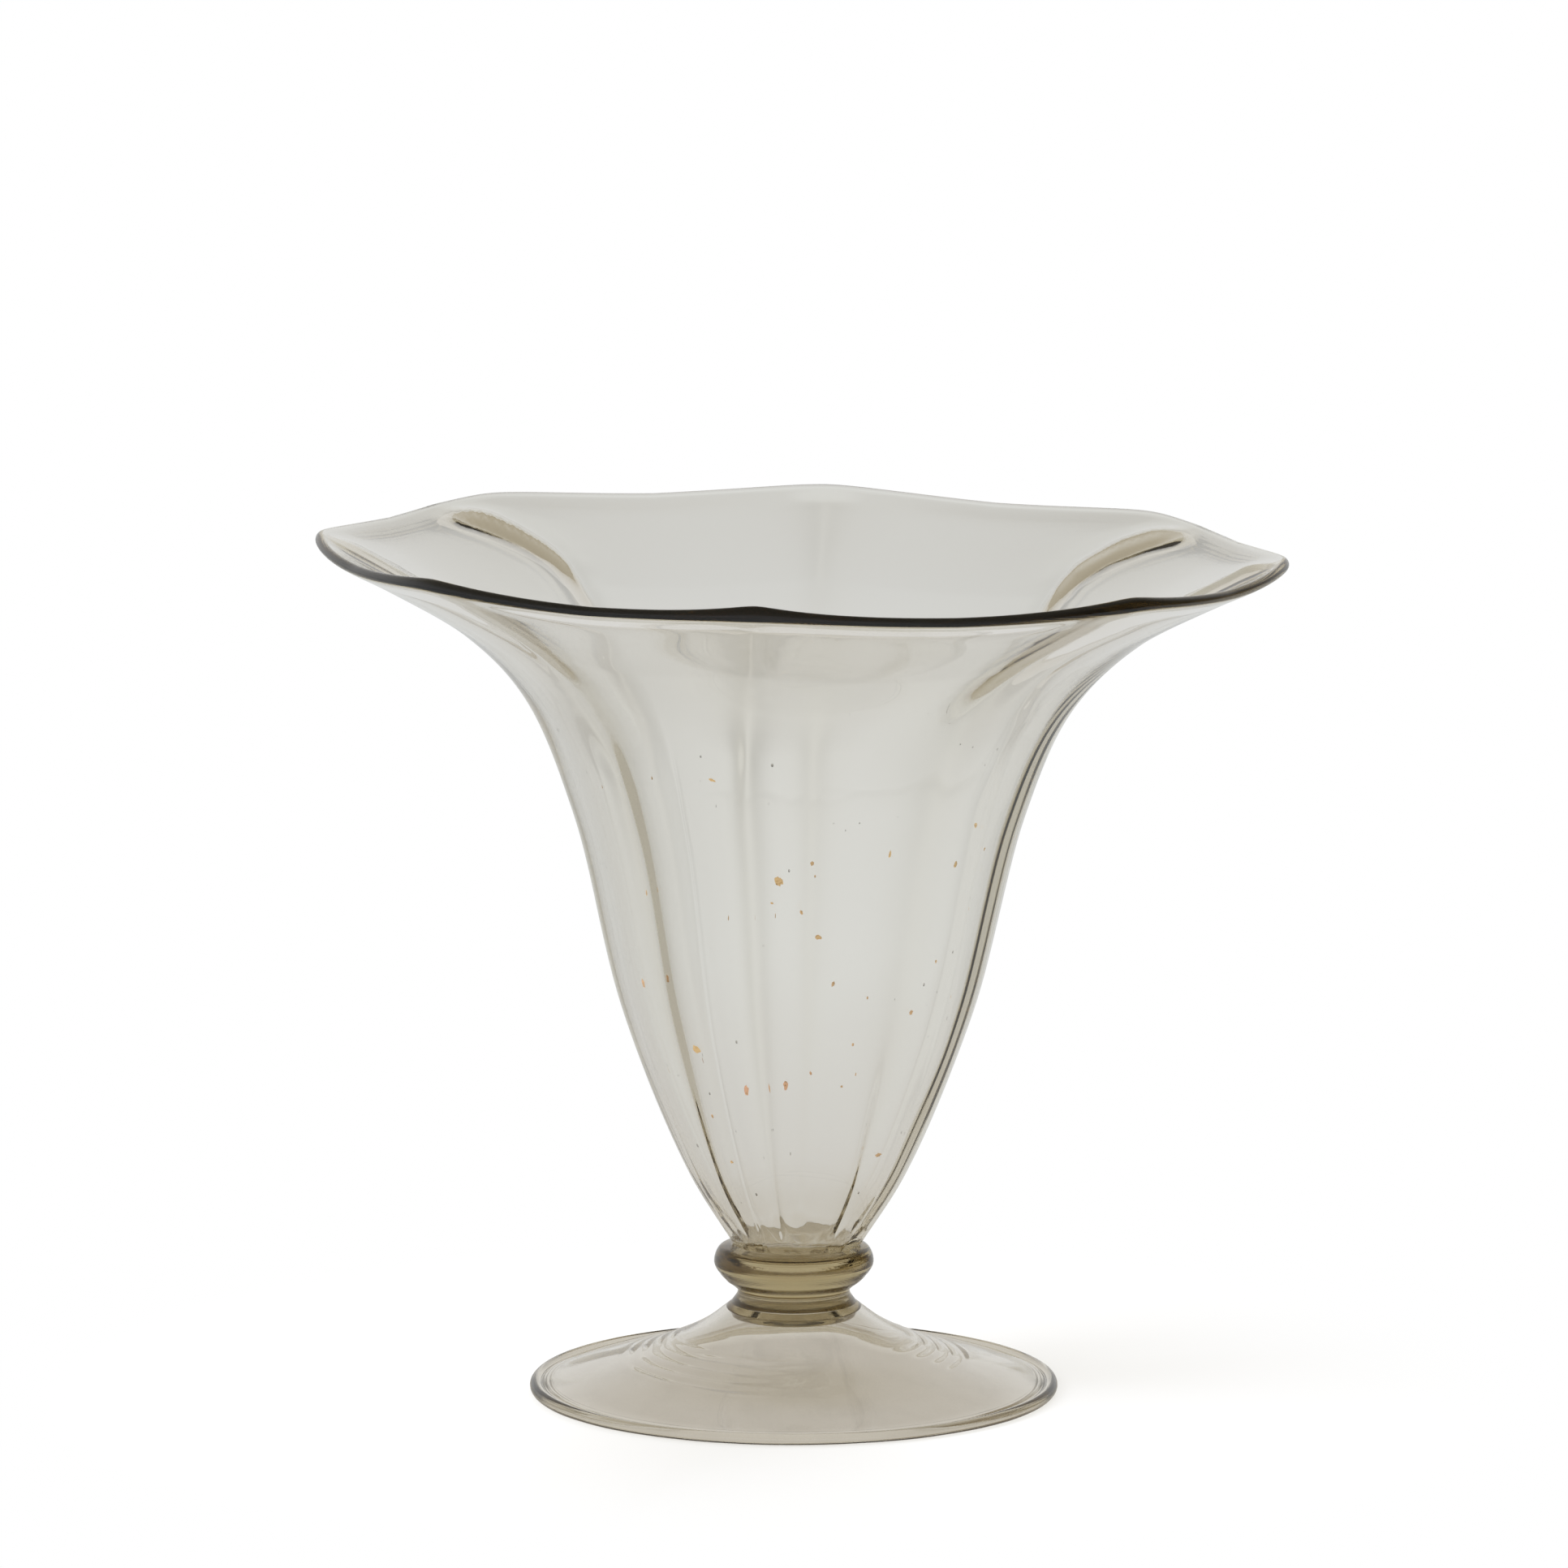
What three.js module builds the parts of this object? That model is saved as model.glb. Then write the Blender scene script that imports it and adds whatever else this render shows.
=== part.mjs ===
// Trumpet vase of pale smoky glass: an eight-sided ribbed trumpet bowl with a beaded lip,
// a solid collar and a waisted spool under it, and a hollow spreading foot with a folded edge.
// Millimetres, +Z up, origin on the table under the middle of the foot.

import * as THREE from 'three';

// Foot: edge, folded hem and the rises from the edge up to the crown
const FOOT_RADIUS = 82;
const FOOT_WALL = 2.6;
const HEM_THICKNESS = 2.2;
const HEM_WIDTH = 8;
const BRIM_RADIUS = 62;
const BRIM_RISE = 4;
const CREASE_RADIUS = 44;
const CREASE_RISE = 5.2;
const BELL_RADIUS = 28.9;
const BELL_RISE = 7;
const CROWN_RADIUS = 19.4;
const CROWN_RISE = 7;
const CROWN_THICKNESS = 2.8;

// Spool: the short waisted stem between foot and collar
const WAIST_RADIUS = 17.4;
const WAIST_RISE = 3.8;
const SPOOL_TOP_RISE = 4.2;

// Collar: the solid ring that the bowl stands on
const COLLAR_FOOT_RADIUS = 21.8;
const COLLAR_RADIUS = 24.7;
const COLLAR_BULGE_RISE = 4.6;
const COLLAR_SHOULDER_RADIUS = 23.2;
const COLLAR_SHOULDER_RISE = 4.6;
const COLLAR_TOP_RISE = 1.2;

// Bowl: set a hair off the collar's centre and leaning, as hand-set glass does
const BOWL_OFFSET = 1;
const BOWL_LEAN = 0.35;

// Bowl: outside radius at the ribs, and the rise from each station to the next
const SEAT_RADIUS = 19.8;
const WELL_RADIUS = 34.2;
const WELL_RISE = 23.4;
const BODY_RADIUS = 54.8;
const BODY_RISE = 51.1;
const SHOULDER_RADIUS = 70.2;
const SHOULDER_RISE = 60.9;
const THROAT_RADIUS = 85.4;
const THROAT_RISE = 35.4;
const FLARE_RADIUS = 106;
const FLARE_RISE = 21;
const MOUTH_RADIUS = 148.6;
const MOUTH_RISE = 23.8;
const BOWL_WALL = 2.4;
const FLOOR_THICKNESS = 3;

// Panels: how far the middle of each side is drawn in from the circle through the ribs
const PANEL_COUNT = 8;
const FIRST_RIB_ANGLE = -3.3;
const SEAT_DRAW = 0.3;
const WELL_DRAW = 0.8;
const BODY_DRAW = 1.3;
const SHOULDER_DRAW = 1.8;
const THROAT_DRAW = 2.6;
const FLARE_DRAW = 3.6;
const MOUTH_DRAW = 4.8;
const RIB_DEPTH = 1.8;
const RIB_HALF_WIDTH = 4;

// Lip: the bead stands proud of the wall, its sides sag between the ribs, and one end dips
const BEAD_SWELL = 0.8;
const LIP_SAG = 2.3;
const LIP_DIP = 1.2;

// Hair gap where the rounded bead lies in the hollow end of the wall
const SEAM_GAP = 0.3;

// Fineness of the facets
const STEPS_PER_PANEL = 8;
const CORNER_CROWDING = 1.6;
const BOWL_ROWS_PER_SPAN = 3;
const ROUND_SEGMENTS = 48;
const FOOT_ROWS_PER_SPAN = 2;
const STEM_ROWS_PER_SPAN = 3;
const BEAD_SIDES = 8;
const EDGE_STEPS = 3;

// Levels that neighbouring pieces share, from the table up
const HEM_TOP = HEM_THICKNESS;
const EDGE_TOP = HEM_TOP + FOOT_WALL;
const CROWN_TOP = EDGE_TOP + BRIM_RISE + CREASE_RISE + BELL_RISE + CROWN_RISE;
const CEILING = CROWN_TOP - CROWN_THICKNESS;
const SPOOL_TOP = CROWN_TOP + WAIST_RISE + SPOOL_TOP_RISE;
const COLLAR_TOP = SPOOL_TOP + COLLAR_BULGE_RISE + COLLAR_SHOULDER_RISE + COLLAR_TOP_RISE;
const FLOOR = COLLAR_TOP + FLOOR_THICKNESS;
const SHOULDER = COLLAR_TOP + WELL_RISE + BODY_RISE + SHOULDER_RISE;
const MOUTH = SHOULDER + THROAT_RISE + FLARE_RISE + MOUTH_RISE;
const HEM_INNER_RADIUS = FOOT_RADIUS - HEM_WIDTH;
const BEAD_RADIUS = BOWL_WALL / 2 + BEAD_SWELL;

// Turns [radius, rise] pairs into points, each rise counted from the point before
function stack(startRadius, startHeight, steps) {
  const points = [new THREE.Vector2(startRadius, startHeight)];
  let height = startHeight;
  for (const [radius, rise] of steps) {
    height += rise;
    points.push(new THREE.Vector2(radius, height));
  }
  return points;
}

// A smooth curve through hand-set points, as an even run of points
function smooth(points, rowsPerSpan) {
  return new THREE.SplineCurve(points).getPoints((points.length - 1) * rowsPerSpan);
}

// Points on an arc in the section plane, angles in radians from the outward direction
function arc(centre, radius, startAngle, endAngle, steps) {
  const points = [];
  for (let step = 0; step <= steps; step += 1) {
    const angle = startAngle + ((endAngle - startAngle) * step) / steps;
    const offset = new THREE.Vector2(Math.cos(angle), Math.sin(angle)).multiplyScalar(radius);
    points.push(offset.add(centre));
  }
  return points;
}

// A round piece: the section turned about the vertical axis
function turned(points) {
  return new THREE.LatheGeometry(points, ROUND_SEGMENTS).rotateX(Math.PI / 2);
}

function axisPoint(height) {
  return new THREE.Vector2(0, height);
}

// The foot's upper line, from the edge up to the crown
function footTopLine() {
  const start = FOOT_RADIUS - FOOT_WALL / 2;
  const stations = stack(start, EDGE_TOP, [
    [BRIM_RADIUS, BRIM_RISE],
    [CREASE_RADIUS, CREASE_RISE],
    [BELL_RADIUS, BELL_RISE],
    [CROWN_RADIUS, CROWN_RISE],
  ]);
  return smooth(stations, FOOT_ROWS_PER_SPAN);
}

// The foot's underside: one wall below the upper line, from the ceiling out to the folded hem
function footUnderLine(topLine) {
  const points = [];
  for (let row = topLine.length - 2; row > 0; row -= 1) {
    const along = topLine[row + 1].clone().sub(topLine[row - 1]).normalize();
    const outward = new THREE.Vector2(along.y, -along.x);
    const below = topLine[row].clone().addScaledVector(outward, -FOOT_WALL);
    if (below.x < HEM_INNER_RADIUS && below.y < CEILING) {
      points.push(below);
    }
  }
  return points;
}

function footGeometry() {
  const topLine = footTopLine();
  const edgeCentre = new THREE.Vector2(FOOT_RADIUS - FOOT_WALL / 2, HEM_TOP + FOOT_WALL / 2);
  const section = [
    axisPoint(CEILING),
    new THREE.Vector2(CROWN_RADIUS - FOOT_WALL, CEILING),
    ...footUnderLine(topLine),
    new THREE.Vector2(HEM_INNER_RADIUS, HEM_TOP),
    ...arc(edgeCentre, FOOT_WALL / 2, -Math.PI / 2, Math.PI / 2, EDGE_STEPS),
    ...topLine.slice(1),
    axisPoint(CROWN_TOP),
  ];
  return turned(section);
}

// The foot's edge folded under: a flat band with both edges rounded, closed on itself
function footHemGeometry() {
  const round = HEM_THICKNESS / 2;
  const outerCentre = new THREE.Vector2(FOOT_RADIUS - round, round);
  const innerCentre = new THREE.Vector2(HEM_INNER_RADIUS + round, round);
  const section = [
    ...arc(outerCentre, round, -Math.PI / 2, Math.PI / 2, EDGE_STEPS),
    ...arc(innerCentre, round, Math.PI / 2, (3 * Math.PI) / 2, EDGE_STEPS),
  ];
  section.push(section[0].clone());
  return turned(section);
}

function spoolGeometry() {
  const side = stack(CROWN_RADIUS, CROWN_TOP, [
    [WAIST_RADIUS, WAIST_RISE],
    [COLLAR_FOOT_RADIUS, SPOOL_TOP_RISE],
  ]);
  return turned([axisPoint(CROWN_TOP), ...smooth(side, STEM_ROWS_PER_SPAN), axisPoint(SPOOL_TOP)]);
}

function collarGeometry() {
  const side = stack(COLLAR_FOOT_RADIUS, SPOOL_TOP, [
    [COLLAR_RADIUS, COLLAR_BULGE_RISE],
    [COLLAR_SHOULDER_RADIUS, COLLAR_SHOULDER_RISE],
    [SEAT_RADIUS, COLLAR_TOP_RISE],
  ]);
  return turned([axisPoint(SPOOL_TOP), ...smooth(side, STEM_ROWS_PER_SPAN), axisPoint(COLLAR_TOP)]);
}

// The bowl's outside line at a rib, as a curve of (radius, panel draw, height)
function bowlLine() {
  const stations = [
    [SEAT_RADIUS, SEAT_DRAW, 0],
    [WELL_RADIUS, WELL_DRAW, WELL_RISE],
    [BODY_RADIUS, BODY_DRAW, BODY_RISE],
    [SHOULDER_RADIUS, SHOULDER_DRAW, SHOULDER_RISE],
    [THROAT_RADIUS, THROAT_DRAW, THROAT_RISE],
    [FLARE_RADIUS, FLARE_DRAW, FLARE_RISE],
    [MOUTH_RADIUS, MOUTH_DRAW, MOUTH_RISE],
  ];
  let height = COLLAR_TOP;
  const points = stations.map(([radius, draw, rise]) => {
    height += rise;
    return new THREE.Vector3(radius, draw, height);
  });
  return new THREE.CatmullRomCurve3(points);
}

const bowlCurve = bowlLine();
const bowlRows = (bowlCurve.points.length - 1) * BOWL_ROWS_PER_SPAN;

// One place on the bowl's outside line: the point, its panel draw and the way out of the wall
function bowlPlace(along) {
  const point = bowlCurve.getPoint(along);
  const tangent = bowlCurve.getTangent(along);
  const rising = new THREE.Vector2(tangent.x, tangent.z).normalize();
  return {
    point: new THREE.Vector2(point.x, point.z),
    draw: point.y,
    rising,
    outward: new THREE.Vector2(rising.y, -rising.x),
  };
}

// A section point of the panelled pieces, with what the panels do to it
function station(point, place, ribDepth) {
  return { point, draw: place.draw, outward: place.outward, ribDepth };
}

const lipPlace = bowlPlace(1);
const beadCentre = lipPlace.point.clone().addScaledVector(lipPlace.outward, -BOWL_WALL / 2);

// The hollow end of the wall that the bead lies in, from the outside round to the inside
function wallEnd() {
  const reach = BEAD_RADIUS + SEAM_GAP;
  const towardsWall = Math.atan2(-lipPlace.rising.y, -lipPlace.rising.x);
  const spread = Math.asin(BOWL_WALL / 2 / reach);
  const points = arc(beadCentre, reach, towardsWall + spread, towardsWall - spread, 2);
  return points.map((point) => station(point, lipPlace, 0));
}

function bowlSection() {
  const outside = [];
  const inside = [];
  for (let row = 0; row < bowlRows; row += 1) {
    const place = bowlPlace(row / bowlRows);
    outside.push(station(place.point, place, 0));
    if (row > 0) {
      const within = place.point.clone().addScaledVector(place.outward, -BOWL_WALL);
      inside.unshift(station(within, place, RIB_DEPTH));
    }
  }
  const seat = bowlPlace(0);
  const floorEdge = new THREE.Vector2(SEAT_RADIUS - BOWL_WALL, FLOOR);
  return [
    station(axisPoint(COLLAR_TOP), { ...seat, draw: 0 }, 0),
    ...outside,
    ...wallEnd(),
    ...inside,
    station(floorEdge, seat, 0),
    station(axisPoint(FLOOR), { ...seat, draw: 0 }, 0),
  ];
}

function beadSection() {
  const ring = arc(beadCentre, BEAD_RADIUS, 0, 2 * Math.PI, BEAD_SIDES);
  ring[ring.length - 1] = ring[0].clone();
  return ring.map((point) => station(point, lipPlace, 0));
}

// Where a step round the bowl lies: its angle, and -1 to 1 across its panel, crowded at the ribs
function panelStep(step) {
  const panel = Math.floor(step / STEPS_PER_PANEL) % PANEL_COUNT;
  const even = ((step % STEPS_PER_PANEL) / STEPS_PER_PANEL) * 2 - 1;
  const across = Math.sign(even) * (1 - (1 - Math.abs(even)) ** CORNER_CROWDING);
  const panelAngle = (2 * Math.PI) / PANEL_COUNT;
  const firstRib = THREE.MathUtils.degToRad(FIRST_RIB_ANGLE);
  return { across, angle: firstRib + (panel + (across + 1) / 2) * panelAngle };
}

// The section turned about the axis, then drawn in between the ribs, thickened at them, dipped and leaned
function panelled(section) {
  const points = section.map((each) => each.point);
  const geometry = new THREE.LatheGeometry(points, PANEL_COUNT * STEPS_PER_PANEL);
  const positions = geometry.attributes.position;
  const dip = Math.tan(THREE.MathUtils.degToRad(LIP_DIP));
  const lean = Math.tan(THREE.MathUtils.degToRad(BOWL_LEAN));
  for (let vertex = 0; vertex < positions.count; vertex += 1) {
    const { point, draw, outward, ribDepth } = section[vertex % section.length];
    const { across, angle } = panelStep(Math.floor(vertex / section.length));
    const middle = 1 - across * across;
    const fromRib = ((1 - Math.abs(across)) * Math.PI * point.x) / PANEL_COUNT;
    const rib = ribDepth * Math.exp(-((fromRib / RIB_HALF_WIDTH) ** 2));
    const radius = point.x - draw * middle - rib * outward.x;
    const x = radius * Math.cos(angle);
    const y = radius * Math.sin(angle);
    const share = THREE.MathUtils.smoothstep(point.y, SHOULDER, MOUTH);
    const drop = share * (LIP_SAG * middle + dip * x);
    const shift = BOWL_OFFSET + lean * (point.y - COLLAR_TOP);
    positions.setXYZ(vertex, x + shift, y, point.y - rib * outward.y - drop);
  }
  geometry.computeVertexNormals();
  return geometry;
}

const paleGlass = { color: 0xd0cdc0, roughness: 0.04, metalness: 0, transparent: true, opacity: 0.45 };
const thickGlass = { color: 0x968c6e, roughness: 0.05, metalness: 0, transparent: true, opacity: 0.75 };
const lipGlass = { color: 0x4a4538, roughness: 0.04, metalness: 0, transparent: true, opacity: 0.8 };

function piece(name, geometry, finish) {
  const mesh = new THREE.Mesh(geometry, new THREE.MeshStandardMaterial(finish));
  mesh.name = name;
  return mesh;
}

const vase = new THREE.Group();
vase.name = 'trumpet_vase';
vase.add(
  piece('foot_hem', footHemGeometry(), paleGlass),
  piece('foot', footGeometry(), paleGlass),
  piece('stem_spool', spoolGeometry(), thickGlass),
  piece('collar', collarGeometry(), thickGlass),
  piece('bowl', panelled(bowlSection()), paleGlass),
  piece('lip_bead', panelled(beadSection()), lipGlass),
);

export default vase;
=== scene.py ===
# %% [markdown]
# # A trumpet vase of pale smoky glass
#
# The real vase is blown by hand: a bubble of glass takes eight ribs from a mould, is opened into a
# trumpet, and is set on a solid collar, a short spool and a spreading foot with a folded edge. The
# imported CAD model gives the true sizes. This lesson builds finer glass over the same sizes, because
# light in glass shows every facet. We start by loading that model. Light crosses many faces before it
# leaves such a vase, so it may also bounce more often than Blender lets it by default.

# %% Load the imported vase
import math
from collections import namedtuple

import bpy
import numpy as np
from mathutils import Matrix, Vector
from mathutils.bvhtree import BVHTree


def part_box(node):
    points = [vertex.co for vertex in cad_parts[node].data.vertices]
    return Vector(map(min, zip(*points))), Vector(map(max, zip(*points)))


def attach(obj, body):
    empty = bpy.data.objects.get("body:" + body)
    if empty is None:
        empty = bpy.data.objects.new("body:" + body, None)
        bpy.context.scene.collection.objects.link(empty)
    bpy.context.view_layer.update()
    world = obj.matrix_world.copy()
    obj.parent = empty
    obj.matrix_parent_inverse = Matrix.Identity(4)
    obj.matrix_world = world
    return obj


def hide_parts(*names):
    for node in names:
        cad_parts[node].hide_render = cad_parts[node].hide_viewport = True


MM = 0.001
LIGHT_BOUNCES = 40
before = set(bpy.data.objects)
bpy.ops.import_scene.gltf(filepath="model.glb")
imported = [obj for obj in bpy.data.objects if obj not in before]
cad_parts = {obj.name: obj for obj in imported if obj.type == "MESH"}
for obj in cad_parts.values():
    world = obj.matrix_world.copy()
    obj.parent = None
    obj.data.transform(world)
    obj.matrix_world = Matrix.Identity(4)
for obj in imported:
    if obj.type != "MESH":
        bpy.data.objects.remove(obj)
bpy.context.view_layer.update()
scene = bpy.context.scene
scene.view_settings.view_transform = "Standard"
scene.cycles.max_bounces = LIGHT_BOUNCES
scene.cycles.transmission_bounces = LIGHT_BOUNCES
scene.cycles.glossy_bounces = LIGHT_BOUNCES
print("CAD nodes", sorted(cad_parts))

# %% [markdown]
# The camera stands where the photograph was taken from: far away with a long lens, so that the near
# and far lip are almost the same size, and a little above the mouth. A short lens close by could frame
# the vase too, but it would widen the near lip and change every angle at which the glass is seen.

# %% Camera
CAMERA_SIDE = -3.03 * MM
CAMERA_BACK = 3240 * MM
CAMERA_HEIGHT = 699 * MM
CAMERA_PITCH = 8.921
SENSOR_WIDTH = 36
LENS = 244.5
SEES_TO = 100

camera_data = bpy.data.cameras.new("camera")
camera_data.sensor_width = SENSOR_WIDTH
camera_data.lens = LENS
camera_data.clip_end = SEES_TO
camera = bpy.data.objects.new("camera", camera_data)
camera.location = (CAMERA_SIDE, -CAMERA_BACK, CAMERA_HEIGHT)
camera.rotation_euler = (math.radians(90 - CAMERA_PITCH), 0, 0)
scene.collection.objects.link(camera)
scene.camera = camera
print("camera", round(camera.location.length, 2), "m from the foot, lens", LENS, "mm")

# %% [markdown]
# Every tree in this lesson, for shapes and for materials, is wired by the same two helpers: one feeds a
# socket with a link or a plain value, and one adds a node with its settings and inputs. Each node
# could be wired by hand, but a tree of ninety nodes would then fill pages.


# %% Helpers for node trees
def feed(tree, socket, value):
    if isinstance(value, Amount):
        value = value.socket
    if isinstance(value, bpy.types.NodeSocket):
        tree.links.new(value, socket)
    else:
        socket.default_value = value


def add_node(tree, kind, inputs=None, **settings):
    node = tree.nodes.new(kind)
    for name, value in settings.items():
        setattr(node, name, value)
    for name, value in (inputs or {}).items():
        feed(tree, node.inputs[name], value)
    return node


print("helpers", feed.__name__, add_node.__name__)

# %% [markdown]
# Shapes and finishes are full of sums. An Amount wraps a socket, so that plain signs such as + and *
# add Math nodes by themselves, and a formula in the script reads like one on paper. Other sums, such
# as a square root or a smooth step between two values, are added by name.


# %% Sums in node trees
def reckon(tree, operation, *values):
    node = add_node(tree, "ShaderNodeMath", dict(enumerate(values)), operation=operation)
    return Amount(tree, node.outputs[0])


class Amount:
    def __init__(self, tree, socket):
        self.tree = tree
        self.socket = socket

    def __add__(self, other):
        return reckon(self.tree, "ADD", self, other)

    def __sub__(self, other):
        return reckon(self.tree, "SUBTRACT", self, other)

    def __rsub__(self, other):
        return reckon(self.tree, "SUBTRACT", other, self)

    def __mul__(self, other):
        return reckon(self.tree, "MULTIPLY", self, other)

    def __truediv__(self, other):
        return reckon(self.tree, "DIVIDE", self, other)

    __radd__ = __add__
    __rmul__ = __mul__


def parts_of(tree, vector):
    node = add_node(tree, "ShaderNodeSeparateXYZ", {0: vector})
    return [Amount(tree, output) for output in node.outputs]


def smooth_share(tree, value, start, end):
    inputs = {"Value": value, "From Min": start, "From Max": end}
    node = add_node(tree, "ShaderNodeMapRange", inputs, interpolation_type="SMOOTHSTEP")
    return Amount(tree, node.outputs["Result"])


print("sums", reckon.__name__, parts_of.__name__, smooth_share.__name__)

# %% [markdown]
# A finish is a tree that starts empty and ends in an output node. Four small helpers serve all of them:
# a blank tree, the place on the object, a ramp of colours along a value, and a mix of two shaders. One
# more asks what kind of ray has come, because glass, floor and room answer some rays in their own way.


# %% Helpers for finishes
def blank_tree(store, name):
    made = store.new(name)
    made.use_nodes = True
    made.node_tree.nodes.clear()
    return made, made.node_tree


def object_place(tree):
    return add_node(tree, "ShaderNodeTexCoord").outputs["Object"]


def colour_ramp(tree, value, levels, reach):
    ramp = add_node(tree, "ShaderNodeValToRGB", {"Fac": value})
    stops = ramp.color_ramp.elements
    while len(stops) < len(levels):
        stops.new(1.0)
    for stop, (place, colour) in zip(stops, levels):
        stop.position = place / reach
        stop.color = (*colour, 1)
    return ramp.outputs["Color"]


def mixed_shader(tree, share, first, second):
    inputs = {0: share, 1: first.outputs[0], 2: second.outputs[0]}
    return add_node(tree, "ShaderNodeMixShader", inputs)


def ray_is(tree, first, second):
    ray = add_node(tree, "ShaderNodeLightPath").outputs
    return reckon(tree, "MAXIMUM", ray[first], ray[second])


print("finishes so far", [finish.name for finish in bpy.data.materials])

# %% [markdown]
# Clear glass has almost no colour of its own: it shows the room. So the studio is part of the
# material. The vase stands on a white sweep that glows plain white to the camera far from the foot,
# and is lit like white card close to it, so that the soft shadow stays. Seen in the glass the sweep
# has painted light of its own: a painted shadow, tan under the stem and the foot, then painted levels
# of pale grey further off, and painted shade a little dimmer to both sides. One white for all would
# be simpler, but then the foot and the bowl would lose their tone.

# %% Finish of the sweep
LIT_CARD_TO = 0.1
GLOW_FROM = 0.24
CARD_WHITE = (0.94, 0.94, 0.94, 1)
SWEEP_REACH = 4.0
# Painted light seen in the glass, by distance from the axis in metres: a painted shadow, tan under the stem
# and the foot, then painted levels of pale grey further off.
SWEEP_PAINTED_LEVELS = [
    (0.0, (0.48, 0.44, 0.37)),
    (0.022, (0.48, 0.44, 0.37)),
    (0.036, (0.54, 0.505, 0.45)),
    (0.064, (0.54, 0.505, 0.45)),
    (0.078, (0.66, 0.63, 0.57)),
    (0.12, (0.64, 0.62, 0.58)),
    (0.35, (0.70, 0.70, 0.69)),
    (0.75, (0.765, 0.78, 0.775)),
    (1.45, (0.75, 0.762, 0.755)),
    (2.0, (0.70, 0.708, 0.70)),
    (4.0, (0.69, 0.695, 0.685)),
]
# Painted shade: seen in the glass, the sweep is made dimmer to both sides over this run.
SIDE_RUN = (0.03, 0.35)
SIDE_PAINTED_SHADE = 0.14


def sweep_finish():
    finish, tree = blank_tree(bpy.data.materials, "white_sweep_with_painted_shadow")
    place = object_place(tree)
    length = add_node(tree, "ShaderNodeVectorMath", {0: place}, operation="LENGTH")
    away = Amount(tree, length.outputs["Value"])
    white = add_node(tree, "ShaderNodeEmission")
    card = add_node(tree, "ShaderNodeBsdfDiffuse", {"Color": CARD_WHITE})
    plain = mixed_shader(tree, smooth_share(tree, away, LIT_CARD_TO, GLOW_FROM), card, white)
    # Rays seen in the glass get painted light: the painted shadow and levels above, with painted shade to
    # the sides.
    level = colour_ramp(tree, away / SWEEP_REACH, SWEEP_PAINTED_LEVELS, SWEEP_REACH)
    aside = reckon(tree, "ABSOLUTE", parts_of(tree, place)[0])
    strength = 1 - smooth_share(tree, aside, *SIDE_RUN) * SIDE_PAINTED_SHADE
    behind = add_node(tree, "ShaderNodeEmission", {"Color": level, "Strength": strength})
    in_glass = ray_is(tree, "Is Glossy Ray", "Is Transmission Ray")
    seen = mixed_shader(tree, in_glass, plain, behind)
    add_node(tree, "ShaderNodeOutputMaterial", {"Surface": seen.outputs[0]})
    return finish


sweep = sweep_finish()
print("sweep finish nodes", len(sweep.node_tree.nodes))

# %% [markdown]
# The sweep itself is one large flat disc, a hair below the foot, so that the two never share a plane.
# A real sweep curves up behind the object. Here the plain white of the room takes over where the disc
# ends, and no curve is needed.

# %% Floor
FLOOR_RADIUS = 16
FLOOR_SIDES = 96
FLOOR_DROP = 0.2 * MM
FULL_TURN = 2 * math.pi


def floor_disc():
    turns = [FULL_TURN / FLOOR_SIDES * side for side in range(FLOOR_SIDES)]
    ring = [(FLOOR_RADIUS * math.cos(turn), FLOOR_RADIUS * math.sin(turn), -FLOOR_DROP) for turn in turns]
    mesh = bpy.data.meshes.new("floor")
    mesh.from_pydata(ring, [], [range(FLOOR_SIDES)])
    mesh.materials.append(sweep)
    disc = bpy.data.objects.new("floor", mesh)
    scene.collection.objects.link(disc)
    return disc


floor = floor_disc()
print("floor", 2 * FLOOR_RADIUS, "m across")

# %% [markdown]
# The room round the sweep is pale at eye level, dim and warm overhead, and brown to the right. A glass
# edge bends light in from far off to the side, so these darker parts are what draws the dark lines
# along the lip and the right-hand side. A plain white world would light the vase too, but its edges
# would melt into the background. The camera itself sees plain white, and what the room sheds on the
# sweep is held down, so that the lamps can make a shadow.

# %% World
ROOM_LEVELS = [
    (0.0, (0.76, 0.76, 0.75)),
    (0.3, (0.74, 0.73, 0.71)),
    (0.6, (0.50, 0.46, 0.38)),
    (1.0, (0.36, 0.32, 0.24)),
]
ROOM_PLAIN = 0.42
DARK_SIDE = (0.34, 0.27, 0.17, 1)
DARK_SIDE_RUN = (0.45, 0.85)
WHITE = (1, 1, 1, 1)
# A Mix node has sockets of the same name for numbers and for colours, so colours go by their place.
MIX_FIRST, MIX_SECOND, MIX_RESULT = 6, 7, 2


def mixed_colour(tree, share, first, second, blend="MIX"):
    inputs = {0: share, MIX_FIRST: first, MIX_SECOND: second}
    return add_node(tree, "ShaderNodeMix", inputs, data_type="RGBA", blend_type=blend).outputs[MIX_RESULT]


def room():
    world, tree = blank_tree(bpy.data.worlds, "studio")
    way = add_node(tree, "ShaderNodeTexCoord").outputs["Generated"]
    across, _, upward = parts_of(tree, way)
    colour = colour_ramp(tree, reckon(tree, "ABSOLUTE", upward), ROOM_LEVELS, 1)
    shaded = mixed_colour(tree, smooth_share(tree, across, *DARK_SIDE_RUN), colour, DARK_SIDE, "MULTIPLY")
    in_glass = ray_is(tree, "Is Glossy Ray", "Is Transmission Ray")
    camera_ray = add_node(tree, "ShaderNodeLightPath").outputs["Is Camera Ray"]
    plain = reckon(tree, "MAXIMUM", camera_ray, ROOM_PLAIN)
    seen = mixed_colour(tree, in_glass, WHITE, shaded)
    inputs = {"Color": seen, "Strength": plain + in_glass * (1 - plain)}
    back = add_node(tree, "ShaderNodeBackground", inputs)
    add_node(tree, "ShaderNodeOutputWorld", {"Surface": back.outputs[0]})
    return world


scene.world = room()
print("world levels", ROOM_LEVELS)

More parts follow.
